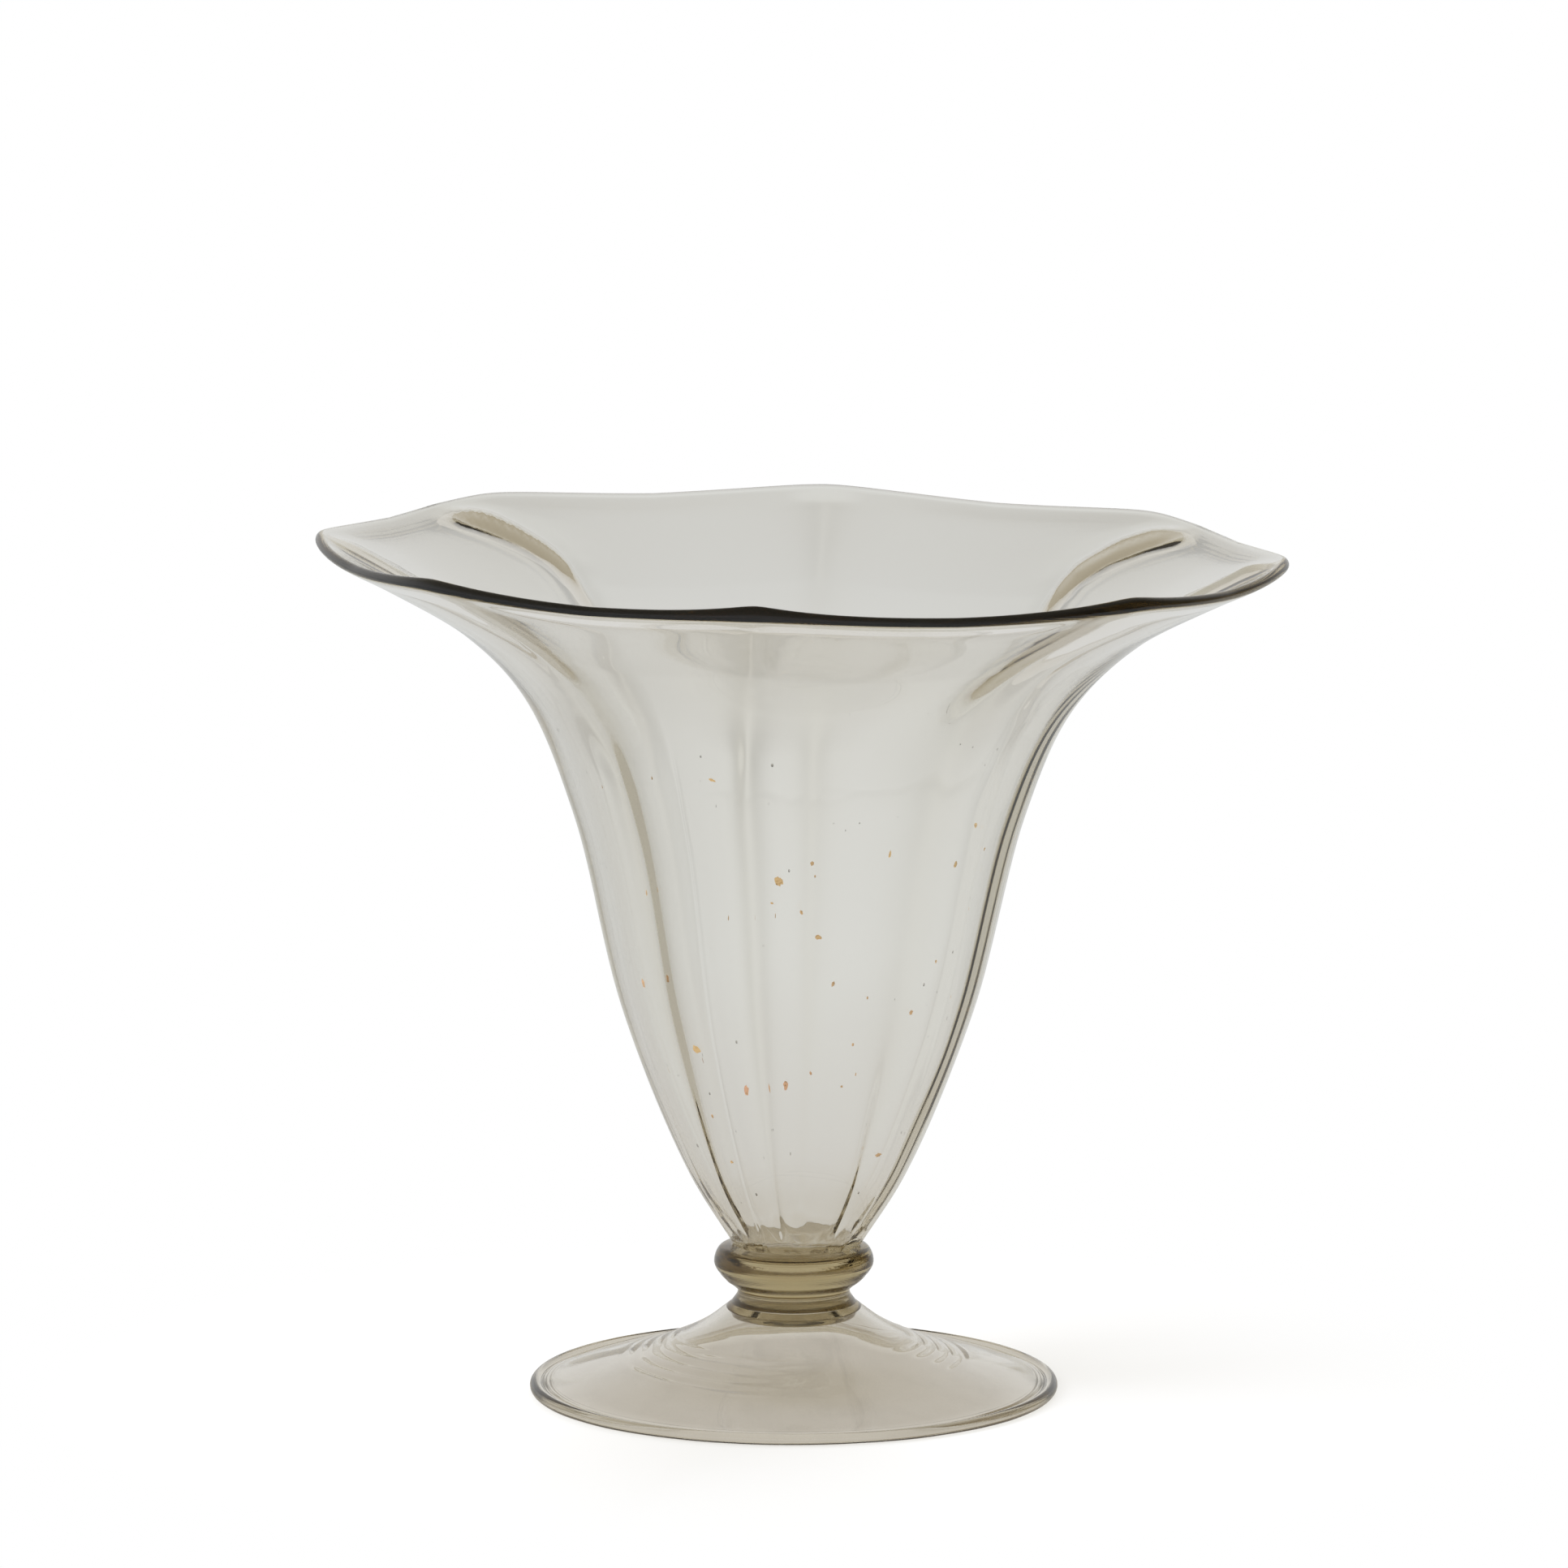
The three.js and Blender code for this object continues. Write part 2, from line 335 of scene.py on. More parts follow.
# %% [markdown]
# Two large soft lamps light the sweep: one high on the left, which is the stronger, and a weaker one
# behind. Large lamps give the faint, wide shadow of a tabletop studio, where a point lamp would give
# a hard one. The glass doesn't show the lamps themselves, because the real vase has hardly a bright
# streak on it: it stood in even light.

# %% Lamps
LAMPS = [  # name, place, size, watts
    ("left_lamp", (-1.9, -0.9, 1.9), (1.1, 1.6), 52),
    ("back_lamp", (0.6, 1.9, 2.1), (1.8, 0.9), 43),
]


def soft_lamp(name, place, size, watts):
    data = bpy.data.lights.new(name, "AREA")
    data.shape = "RECTANGLE"
    data.size, data.size_y = size
    data.energy = watts
    lamp = bpy.data.objects.new(name, data)
    lamp.location = place
    lamp.rotation_euler = Vector(place).to_track_quat("Z", "Y").to_euler()
    lamp.visible_glossy = False
    lamp.visible_transmission = False
    scene.collection.objects.link(lamp)
    return lamp


lamps = [soft_lamp(*lamp) for lamp in LAMPS]
print("lamps", [(lamp.name, lamp.data.energy) for lamp in lamps])

# %% [markdown]
# A node group is a small tree with named inputs and outputs that other trees can place. The helper
# reads the kind of each input from its starting value, where a tree's own editor would ask for it.
# The other helper adds a noise, which is what most uneven things in this lesson are made from.

# %% Node groups and noise
NUMBER_SOCKETS = {float: "Float", int: "Int"}
NOISE_MIDDLE = 0.5


def new_group(name, kind, inputs, outputs):
    group = bpy.data.node_groups.new(name, kind)
    for label, value in inputs.items():
        socket = "NodeSocket" + NUMBER_SOCKETS.get(type(value), label)
        made = group.interface.new_socket(label, in_out="INPUT", socket_type=socket)
        if value is not None:
            made.default_value = value
    for label, socket in outputs.items():
        group.interface.new_socket(label, in_out="OUTPUT", socket_type="NodeSocket" + socket)
    start = group.nodes.new("NodeGroupInput")
    end = group.nodes.new("NodeGroupOutput")
    given = {socket.name: Amount(group, socket) for socket in start.outputs}
    return group, given, end.inputs


def noise(tree, place, scale, detail, seed=None):
    inputs = {"Vector": place, "Scale": scale, "Detail": detail}
    if seed is None:
        node = add_node(tree, "ShaderNodeTexNoise", inputs)
    else:
        node = add_node(tree, "ShaderNodeTexNoise", {**inputs, "W": seed}, noise_dimensions="4D")
    return Amount(tree, node.outputs["Fac"])


print("groups so far", len(bpy.data.node_groups))

# %% [markdown]
# All the glass shares one skin. Fire-polished glass is almost perfectly smooth, but never flat: it has
# slow waves, and here and there a faint haze. Worked pieces add fine rings from the tool that shaped
# them, and a foot gathers a little dust. All of that goes into one node group with named inputs, and
# each glass places it with its own values. The waves could be modelled as well, but as bump they cost
# no triangles.

# %% Shared skin of hand-worked glass
RING_DRIFT = 1.5
HAZE_SCALE, HAZE_RUN = 140.0, (0.5, 0.8)
SPECK_SCALE, SPECK_RUN = 2600.0, (0.35, 0.75)
SMEAR_SCALE, SMEAR_RUN = 90.0, (0.4, 0.75)
CLEANEST = 0.997


def tool_rings(tree, place, spacing):
    inputs = {"Vector": place, "Scale": spacing, "Distortion": RING_DRIFT}
    inputs.update({"Detail": 1.0, "Detail Scale": 1.0})
    node = add_node(tree, "ShaderNodeTexWave", inputs, wave_type="RINGS", rings_direction="Z")
    return Amount(tree, node.outputs["Fac"])


def worked_skin():
    inputs = {"Wave Size": 60.0, "Ring Spacing": 900.0, "Ring Share": 0.0, "Haze": 0.03, "Dust": 0.0}
    outputs = {"Roughness": "Float", "Height": "Float", "Clean": "Color"}
    group, given, result = new_group("worked_skin", "ShaderNodeTree", inputs, outputs)
    place = object_place(group)
    rings = tool_rings(group, place, given["Ring Spacing"]) * given["Ring Share"]
    feed(group, result["Height"], noise(group, place, given["Wave Size"], detail=1.0) + rings)
    hazy = smooth_share(group, noise(group, place, HAZE_SCALE, detail=4.0), *HAZE_RUN)
    feed(group, result["Roughness"], hazy * given["Haze"])
    specks = smooth_share(group, noise(group, place, SPECK_SCALE, detail=2.0), *SPECK_RUN)
    smears = smooth_share(group, noise(group, place, SMEAR_SCALE, detail=3.0), *SMEAR_RUN)
    clean = CLEANEST - (specks + smears) * given["Dust"]
    grey = add_node(group, "ShaderNodeCombineColor", {0: clean, 1: clean, 2: clean})
    feed(group, result["Clean"], grey.outputs[0])
    return group


skin_group = worked_skin()
print("skin group sockets", [item.name for item in skin_group.interface.items_tree])

# %% [markdown]
# All the glass is one melt with a faint smoky olive tint. The tint sits in the depth of the glass, so
# it belongs in a volume that absorbs light along its path: thin walls stay pale and the thick collar
# goes olive by itself. A tinted surface would colour both alike. Rays that only carry lamp light to
# what lies behind pass straight through, so that the shadow is as faint as a glass one. Only a dusty
# glass takes its surface colour from the skin; elsewhere one clean colour holds all over.

# %% Glass
GLASS_BEND = 1.5
LAMP_PASS = (0.93, 0.93, 0.93, 1)
BUMP_HEIGHT = 0.1 * MM
SMOKE = (0.526, 0.43, 0.17)
AMBER = (0.56, 0.44, 0.08)
CLEAN = (CLEANEST, CLEANEST, CLEANEST, 1)


def lets_lamps_through(tree, shader, colour):
    passing = add_node(tree, "ShaderNodeBsdfTransparent", {"Color": colour})
    lamp_ray = ray_is(tree, "Is Shadow Ray", "Is Diffuse Ray")
    return mixed_shader(tree, lamp_ray, shader, passing).outputs[0]


def bumped(tree, height, strength):
    inputs = {"Height": height, "Strength": strength, "Distance": BUMP_HEIGHT}
    return add_node(tree, "ShaderNodeBump", inputs).outputs["Normal"]


def glass(name, tint, density, bump, **values):
    finish, tree = blank_tree(bpy.data.materials, name)
    skin = add_node(tree, "ShaderNodeGroup", node_tree=skin_group)
    for label, value in values.items():
        skin.inputs[label.replace("_", " ").title()].default_value = value
    inputs = {
        "Base Color": skin.outputs["Clean"] if "dust" in values else CLEAN,
        "Metallic": 0,
        "IOR": GLASS_BEND,
        "Transmission Weight": 1,
        "Roughness": skin.outputs["Roughness"],
        "Normal": bumped(tree, skin.outputs["Height"], bump),
    }
    clear = add_node(tree, "ShaderNodeBsdfPrincipled", inputs)
    surface = lets_lamps_through(tree, clear, LAMP_PASS)
    depth = add_node(tree, "ShaderNodeVolumeAbsorption", {"Color": (*tint, 1), "Density": density})
    add_node(tree, "ShaderNodeOutputMaterial", {"Surface": surface, "Volume": depth.outputs[0]})
    return finish


pale_glass = glass("pale_glass", SMOKE, density=38, bump=0.15, wave_size=55, haze=0.01)
thick_glass = glass("thick_glass", AMBER, density=37, bump=0.3, wave_size=90, ring_share=0.3, haze=0.01)
foot_glass = glass("foot_glass", SMOKE, density=38, bump=0.2, wave_size=70, haze=0.06, dust=0.05)
print("glass finishes", pale_glass.name, thick_glass.name, foot_glass.name)

# %% [markdown]
# Every piece of the vase starts as a section turned about the upright axis, as on a lathe. A Screw
# modifier does this too, but here the section carries facts for the next step, such as how far each
# row is drawn in between the ribs, so the mesh is made row by row. First come the helpers that draw a
# section: a smooth line through a few measured stations, an arc, and a soft step from one value to
# another. The line passes through every station, where a Bezier curve would need handles to be set.


# %% Lines of a section
def eased(value, start, end):
    part = np.clip((value - start) / (end - start), 0, 1)
    return part * part * (3 - 2 * part)


def smooth_line(stations, steps):
    points = [Vector(station) for station in stations]
    points = [2 * points[0] - points[1], *points, 2 * points[-1] - points[-2]]
    counts = steps if isinstance(steps, list) else [steps] * (len(stations) - 1)
    line = []
    for before, start, end, after, count in zip(points, points[1:], points[2:], points[3:], counts):
        gaps = [math.sqrt(gap.length) for gap in (start - before, end - start, after - end)]
        leave = (start - before) / gaps[0] - (end - before) / (gaps[0] + gaps[1]) + (end - start) / gaps[1]
        arrive = (end - start) / gaps[1] - (after - start) / (gaps[1] + gaps[2]) + (after - end) / gaps[2]
        for step in range(count):
            part = step / count
            bend = 2 * part**3 - 3 * part**2
            pull = leave * gaps[1] * (part**3 - 2 * part**2 + part) + arrive * gaps[1] * (part**3 - part**2)
            line.append(start * (1 + bend) - end * bend + pull)
    return [*line, points[-2]]


def arc(centre, radius, start, end, steps):
    turns = [start + step * ((end - start) / steps) for step in range(steps + 1)]
    return [(centre[0] + radius * math.cos(turn), centre[1] + radius * math.sin(turn)) for turn in turns]


print("a quarter of the way eases to", eased(0.25, 0, 1))

# %% [markdown]
# Turning sets the section's points round the axis and joins each row to the next with faces. A row
# that lies on the axis is a single point, so that a floor closes in triangles without a hole. Sections
# run from the middle of the underside round the outside and back to the axis, so that faces point out.

# %% Turning
ON_AXIS = 1e-6


def turned_mesh(name, section, angles):
    corners, first = [], []
    for radius, height in section:
        first.append(len(corners))
        sweep_round = angles if radius > ON_AXIS else [0.0]
        corners += [(radius * math.cos(angle), radius * math.sin(angle), height) for angle in sweep_round]
    sizes = np.diff([*first, len(corners)])
    faces = []
    for low, high in zip(range(len(section)), range(1, len(section))):
        for here in range(len(angles)):
            there = (here + 1) % len(angles)
            low_edge = [first[low] + here, first[low] + there] if sizes[low] > 1 else [first[low]]
            high_edge = [first[high] + there, first[high] + here] if sizes[high] > 1 else [first[high]]
            faces.append(low_edge + high_edge)
    mesh = bpy.data.meshes.new(name)
    mesh.from_pydata(corners, [], faces)
    mesh.validate()
    return mesh, sizes


print("a row within", ON_AXIS / MM, "mm of the axis is one point")

# %% [markdown]
# A tree of Geometry Nodes can read facts from the points of a mesh, such as how deep a rib is there.
# One helper writes such facts, and one runs a tree on a blank: it sets the tree's inputs, keeps the
# result as a plain mesh and drops the facts, which nothing needs afterwards. The modifier could stay
# on the piece, but the frame and the export want plain meshes.

# %% Running a tree
FACTS = ("draw", "outward", "ripple", "rib", "width", "crest", "twist", "panel", "hook", "waver", "bead")
FLAKE_FACTS = ("size", "spin", "lie")


def label_points(mesh, name, rows, sizes):
    values = np.repeat(np.array(rows, dtype=np.float32), sizes, axis=0)
    vector = values.ndim > 1
    layer = mesh.attributes.new(name, "FLOAT_VECTOR" if vector else "FLOAT", "POINT")
    layer.data.foreach_set("vector" if vector else "value", values.ravel())


def run_tree(blank, name, tree, values):
    piece = bpy.data.objects.new(name, blank)
    scene.collection.objects.link(piece)
    modifier = piece.modifiers.new(tree.name, "NODES")
    modifier.node_group = tree
    for item in tree.interface.items_tree:
        if item.item_type == "SOCKET" and item.in_out == "INPUT" and item.name in values:
            modifier[item.identifier] = values[item.name]
    whole = piece.evaluated_get(bpy.context.evaluated_depsgraph_get())
    mesh = bpy.data.meshes.new_from_object(whole)
    piece.modifiers.remove(modifier)
    piece.data = mesh
    for layer in [layer.name for layer in mesh.attributes if layer.name in FACTS + FLAKE_FACTS]:
        mesh.attributes.remove(mesh.attributes[layer])
    mesh.name = name
    mesh.calc_loop_triangles()
    print(name, len(mesh.loop_triangles), "triangles")
    return piece


print("facts that a tree may read", FACTS + FLAKE_FACTS)

# %% [markdown]
# All trees for shapes start and end alike. They take a geometry, some knobs and a material, and they
# end by making every copy real and setting the material, because copies that are only shown as
# instances are lost in an export. Some also shade the result smooth on the way.


# %% Starts and ends of trees
def shape_group(name, knobs):
    inputs = {"Geometry": None, **knobs, "Material": None}
    return new_group(name, "GeometryNodeTree", inputs, {"Geometry": "Geometry"})


def end_tree(group, given, result, shape):
    real = add_node(group, "GeometryNodeRealizeInstances", {"Geometry": shape.outputs[0]})
    inputs = {"Geometry": real.outputs[0], "Material": given["Material"]}
    painted = add_node(group, "GeometryNodeSetMaterial", inputs)
    feed(group, result["Geometry"], painted.outputs[0])


def smoothed(group, shape):
    return add_node(group, "GeometryNodeSetShadeSmooth", {"Geometry": shape.outputs[0]})


def fact(group, name, kind="FLOAT"):
    node = add_node(group, "GeometryNodeInputNamedAttribute", {"Name": name}, data_type=kind)
    return Amount(group, node.outputs["Attribute"])


print("every tree takes", ["Geometry", "Material"])

# %% [markdown]
# The bowl's line is measured at seven stations from the collar to the lip: its radius along a rib, how
# far the middle of each side is drawn in, and its height. A second table says how deep, how wide and
# how round the ribs are at the same stations. A curve object could hold the line, but a table keeps
# all the numbers of a station in one place.

# %% Lines of the bowl and its ribs
COLLAR_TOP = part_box("collar")[1].z
BOWL_STATIONS = [  # radius, drawn in, height above the collar
    (19.8, 0.3, 0.0),
    (34.2, 0.8, 23.4),
    (54.8, 1.3, 74.5),
    (70.2, 1.8, 135.4),
    (85.4, 2.6, 170.8),
    (106.0, 3.6, 191.8),
    (148.6, 4.8, 215.6),
]
RIB_STATIONS = [  # depth, width, roundness of the crest
    (0.5, 1.0, 0.3),
    (0.7, 1.5, 0.5),
    (1.6, 4.2, 2.6),
    (1.8, 5.0, 3.4),
    (2.0, 4.0, 1.6),
    (2.3, 3.4, 0.4),
    (3.8, 6.0, 0.8),
]
SPAN_STEPS = [12, 13, 14, 15, 20, 34]

places = [(radius * MM, drawn * MM, COLLAR_TOP + height * MM) for radius, drawn, height in BOWL_STATIONS]
bowl_line = smooth_line(places, SPAN_STEPS)
rib_line = smooth_line([[size * MM for size in station] for station in RIB_STATIONS], SPAN_STEPS)
print("bowl line points", len(bowl_line), "rise in mm", round((bowl_line[-1].z - COLLAR_TOP) / MM, 1))

# %% [markdown]
# From these lines come the wall's two faces, row by row. The lip is the wall's own end, melted until
# it gathers into a bead, so the wall swells there and closes in a half circle, with some more glass
# on the near side. A bead laid on as a second piece would leave a seam that light would find. Towards
# the collar the wall is thicker and its inside ripples, where the hot glass was pushed together. The
# ribs are on the inside, and most of them fade out just before the lip.

# %% Rows of the wall
WALL = 2.4 * MM
BOTTOM_EXTRA = 0.8 * MM
BOTTOM_RUN = 26 * MM
BEAD_UNDER = 0.3 * MM
BEAD_NEAR = 0.45 * MM
BEAD_OVER = 0.2 * MM
BEAD_RUN = 7.0 * MM
BEAD_STEPS = 14
RIB_END = (1 * MM, 12 * MM)
PAD_RIPPLE = 0.65 * MM
PAD_RUN = (4 * MM, 18 * MM)
# A row's place, how far its sides are drawn in, which way is out of the wall, the rib's depth, width
# and crest, how much it ripples, how much of the rib is left so near the lip, and the near bead.
Row = namedtuple("Row", "radius height draw outward rib width crest ripple fade bead")


def runs_to_lip(line):
    runs = [0.0]
    for here, there in zip(line[::-1], line[-2::-1]):
        runs.append(runs[-1] + math.hypot(there.x - here.x, there.z - here.z))
    return runs[::-1]


def wall_middle(line, index):
    ahead, behind = line[min(index + 1, len(line) - 1)], line[max(index - 1, 0)]
    rise = Vector((ahead.x - behind.x, ahead.z - behind.z)).normalized()
    out = Vector((rise.y, -rise.x))
    return Vector((line[index].x, line[index].z)) - out * WALL / 2, out


def wall_rows():
    outside, inside, lip = [], [], []
    for index, (point, to_lip) in enumerate(zip(bowl_line, runs_to_lip(bowl_line))):
        middle, out = wall_middle(bowl_line, index)
        outward = (out.x, 0, out.y)
        depth, width, crest = rib_line[index]
        above = point.z - COLLAR_TOP
        swell = math.exp(-((to_lip / BEAD_RUN) ** 2))
        thicker = BOTTOM_EXTRA * (1 - eased(above, 0, BOTTOM_RUN))
        under, over = WALL / 2 + BEAD_UNDER * swell, WALL / 2 + BEAD_OVER * swell + thicker
        fade, bead = eased(to_lip, *RIB_END), BEAD_NEAR * swell
        ripple = PAD_RIPPLE * (1 - eased(above, *PAD_RUN))
        outer, inner = middle + out * under, middle - out * over
        outside.append(Row(*outer, point.y, outward, 0.0, width, crest, 0.0, fade, bead))
        inside.append(Row(*inner, point.y, outward, depth, width, crest, ripple, fade, 0.0))
    start = math.atan2(out.y, out.x)
    lip_middle = middle + out * (under - over) / 2
    half_circle = arc(lip_middle, (under + over) / 2, start, start + math.pi, BEAD_STEPS)
    for step, spot in enumerate(half_circle[1:-1], 1):
        share = (1 - math.cos(math.pi * step / BEAD_STEPS)) / 2
        near = (1 - share) * bead
        lip.append(Row(*spot, point.y, outward, share * depth, width, crest, 0.0, fade, near))
    return outside, lip, inside


rows_outside, rows_lip, rows_inside = wall_rows()
print("rows outside, lip, inside", len(rows_outside), len(rows_lip), len(rows_inside))

# %% [markdown]
# The section becomes closed at the bottom: a flat base that reaches a hair into the collar, and a
# rounded floor inside, over which the ribs run on and fade towards the middle. A flat floor would do
# for water and flowers, but the real one sags to the middle like the bottom of a bubble.

# %% Floor of the bowl and the whole section
SEAT_OVERLAP = 0.05 * MM
BASE_STEPS = 6
BASE_DRAW = 0.3 * MM
BOWL_FLOOR = [(17.6, 2.5), (15.6, 1.5), (12.2, 0.8), (7.8, 0.5), (3.0, 0.4), (0.0, 0.4)]
FLOOR_CLEAR = 4.4 * MM
FLOOR_STEPS = 3
FLOOR_DRAW = 0.4 * MM
FLOOR_RIB_WIDTH = 3 * MM
FLOOR_RIB_CREST = 0.6 * MM
MIDDLE_DEPTH = 0.25
SIDEWAYS, DOWN = (1, 0, 0), (0, 0, -1)


def base_rows():
    radius, seat = rows_outside[0].radius, COLLAR_TOP - SEAT_OVERLAP
    plain = Row(0.0, seat, 0.0, SIDEWAYS, 0.0, MM, MM, 0.0, 1.0, 0.0)
    made = []
    for step in range(BASE_STEPS):
        made.append(plain._replace(radius=radius * step / BASE_STEPS, draw=BASE_DRAW * step / BASE_STEPS))
    return made


def floor_rows(meet):
    stations = [(meet.radius, 0, meet.height)]
    stations += [(radius * MM, 0, COLLAR_TOP + height * MM) for radius, height in BOWL_FLOOR]
    made = []
    for point in smooth_line(stations, FLOOR_STEPS):
        share = min(point.x / meet.radius, 1)
        depth = RIB_STATIONS[0][0] * MM * (MIDDLE_DEPTH + (1 - MIDDLE_DEPTH) * share)
        rib = (depth, FLOOR_RIB_WIDTH, FLOOR_RIB_CREST)
        made.append(Row(max(point.x, 0), point.z, FLOOR_DRAW * share, DOWN, *rib, PAD_RIPPLE, 1.0, 0.0))
    made[-1] = made[-1]._replace(radius=0.0, draw=0.0)
    return made


def bowl_section():
    inside = [row for row in reversed(rows_inside) if row.height > COLLAR_TOP + FLOOR_CLEAR]
    meet = inside.pop()
    return base_rows() + rows_outside + rows_lip + inside + floor_rows(meet)


rows = bowl_section()
print("bowl section rows", len(rows))

# %% [markdown]
# The mould gives the bowl its rule: eight ribs, with the side between two ribs drawn in towards the
# axis, more so near the mouth. Towards the lip each side also sags a little and the whole rim dips to
# one side, where the hot glass gave way. Geometry Nodes suit this well, because one tree moves every
# point by the same rule, and its named inputs can be turned like knobs. Sculpting could do it once,
# but not eight times alike.

# %% Tree that presses the panels
PANELS = 8
WAVER_SCALE = 130.0
WOBBLE_SCALE = 16.0
RIPPLE_SCALE = 260.0
HALF_PANEL = 0.5
PRESS_KNOBS = {
    "First Rib": 0.0,
    "Corner Round": 0.1,
    "Rib Depth": 1.0,
    "Rib Width": 1.0,
    "Rib Waver": 0.0,
    "Sag": 0.0,
    "Dip": 0.0,
    "Sag From": 0.0,
    "Sag To": 1.0,
    "Offset": 0.0,
    "Lean": 0.0,
    "Seat": 0.0,
    "Wobble": 0.0,
}


def rounded_off(group, distance, roundness):
    squares = distance * distance + roundness * roundness
    return reckon(group, "SQRT", squares) - roundness


def centred_noise(group, place, scale, seed=None):
    return noise(group, place, scale, 1.0, seed) - NOISE_MIDDLE


def round_the_axis(group, x, y):
    return reckon(group, "SQRT", x * x + y * y)


def press_tree():
    group, given, result = shape_group("press_panels", PRESS_KNOBS)
    place = add_node(group, "GeometryNodeInputPosition").outputs[0]
    x, y, z = parts_of(group, place)
    radius = reckon(group, "MAXIMUM", round_the_axis(group, x, y), ON_AXIS)
    panel = fact(group, "panel")

    # How far round from the nearest rib: a share of a panel either way, and as a length.
    turns = (panel - given["First Rib"]) * (PANELS / FULL_TURN) + (PANELS + HALF_PANEL)
    stray = reckon(group, "FRACT", turns) - HALF_PANEL
    from_rib = rounded_off(group, reckon(group, "ABSOLUTE", stray) / HALF_PANEL, given["Corner Round"])
    middle = from_rib * (2 - from_rib)
    off_rib = stray * (FULL_TURN / PANELS) * radius - fact(group, "hook")

    # How far a point is pushed out of the wall: unevenness, less the rib, and the lip's extra glass.
    off_crest = rounded_off(group, off_rib, fact(group, "crest"))
    flank = reckon(group, "EXPONENT", off_crest * -1 / (fact(group, "width") * given["Rib Width"]))
    wavy = centred_noise(group, place, WAVER_SCALE) * given["Rib Waver"] * fact(group, "waver")
    rib = flank * (1 + wavy) * (fact(group, "rib") * given["Rib Depth"])
    uneven = centred_noise(group, place, WOBBLE_SCALE) * given["Wobble"]
    rippled = centred_noise(group, place, RIPPLE_SCALE) * fact(group, "ripple")
    pushed = uneven + rippled - rib + fact(group, "bead")

    # Where the point ends up: drawn in, pushed, turned with its rib, sagging, and leaning as a whole.
    out_x, _, out_z = parts_of(group, fact(group, "outward", "FLOAT_VECTOR"))
    new_radius = radius - fact(group, "draw") * middle + pushed * out_x
    way = panel + fact(group, "twist")
    new_x = new_radius * reckon(group, "COSINE", way)
    new_y = new_radius * reckon(group, "SINE", way)
    share = smooth_share(group, z, given["Sag From"], given["Sag To"])
    new_z = z + pushed * out_z - share * (given["Sag"] * middle + given["Dip"] * new_x)
    shift = given["Offset"] + given["Lean"] * (z - given["Seat"])
    moved = add_node(group, "ShaderNodeCombineXYZ", {0: new_x + shift, 1: new_y, 2: new_z})
    inputs = {"Geometry": given["Geometry"], "Position": moved.outputs[0]}
    end_tree(group, given, result, smoothed(group, add_node(group, "GeometryNodeSetPosition", inputs)))
    return group


panel_tree = press_tree()
print("panel tree nodes", len(panel_tree.nodes))

# %% [markdown]
# No two ribs of a hand-blown bowl are alike: one is pressed deeper, one leans, one bends sideways near
# the lip. So each rib has a row of its own in a table, from the right-hand rib round the back. Depths
# and widths multiply the tables above, a turn is in degrees, and hook, reach and rise are in mm: how
# far it bends at the lip, and how much higher its body ends and begins. Eight separate trees would
# give eight hands as well, but the rule would then be written eight times.

# %% Hands of the ribs
# Depth in body and flare, share of it kept at the lip, width in body and flare, turn, hook, waver,
# reach, rise, 1 for a turn that lasts up to the lip, and depth at the bowl's foot.
Hand = namedtuple("Hand", "body flare lip slim wide turn hook waver reach rise late foot")
RIB_HANDS = [
    (1.2, 1.0, 0.1, 0.9, 1.6, -10, 0, 0.2, 16, 0, 0, 3),
    (0.5, 1.0, 0.1, 0.6, 1.2, -7, -13, 0.3, 0, 0, 0, 1),
    (1.1, 0.4, 0.1, 0.85, 2.0, 0, 0, 0.0, 0, 0, 0, 1),
    (0.4, 1.0, 0.1, 0.7, 1.2, 3, 13, 0.3, 0, 0, 0, 1),
    (0.25, 0.5, 0.1, 1.0, 1.6, 0, 0, 0.2, 0, 0, 0, 1),
    (1.3, 0.5, 0.5, 0.95, 2.3, 1, 0, 0.1, 8, 0, 0, 1),
    (1.0, 0.6, 0.8, 0.8, 2.0, -9.5, 0, 0.1, 18, 0, 1, 1),
    (0.7, 0.8, 0.5, 1.4, 2.3, -8.5, 0, 0.1, 0, 16, 0, 1),
]
FIRST_RIB = math.radians(-3.3)
HAND_BLEND = (0.3, 0.7)
BODY_FROM = (68 * MM, 112 * MM)
BODY_TO = (190 * MM, 222 * MM)
TURN_TO = (205 * MM, 258 * MM)
LATE_TURN = (-20 * MM, 42 * MM)
HOOK_FROM, HOOK_TO = 244 * MM, 258 * MM


def hands_round(angles):
    turns = (angles - FIRST_RIB) * PANELS / FULL_TURN
    left = np.floor(turns).astype(int) % PANELS
    between = eased(turns % 1, *HAND_BLEND)
    hands = np.array(RIB_HANDS + RIB_HANDS[:1]).T
    return Hand(*(hands[:, left] * (1 - between) + hands[:, left + 1] * between))


def facts_of_row(row, hand, angles):
    low = 1 - eased(row.height - hand.rise * MM, *BODY_FROM)
    high = eased(row.height - hand.reach * MM, *BODY_TO)
    mid = (1 - low) * (1 - high)
    turned = 1 - eased(row.height, *[at + hand.late * later for at, later in zip(TURN_TO, LATE_TURN)])
    depth = low * hand.foot + mid * hand.body + high * hand.flare
    bent = max((row.height - HOOK_FROM) / (HOOK_TO - HOOK_FROM), 0) ** 2
    return {
        "rib": row.rib * depth * (hand.lip + (1 - hand.lip) * row.fade),
        "width": row.width * (low * (1 + hand.foot) / 2 + mid * hand.slim + high * hand.wide),
        "crest": row.crest * (low + mid * hand.slim + high * hand.wide**2),
        "twist": turned * np.radians(hand.turn),
        "panel": angles,
        "hook": bent * hand.hook * MM,
        "waver": high * hand.waver,
        "bead": row.bead * (1 - np.sin(angles)) / 2,
    }


print("hands", [Hand(*hand).body for hand in RIB_HANDS], "times the depth of the ribs in the body")

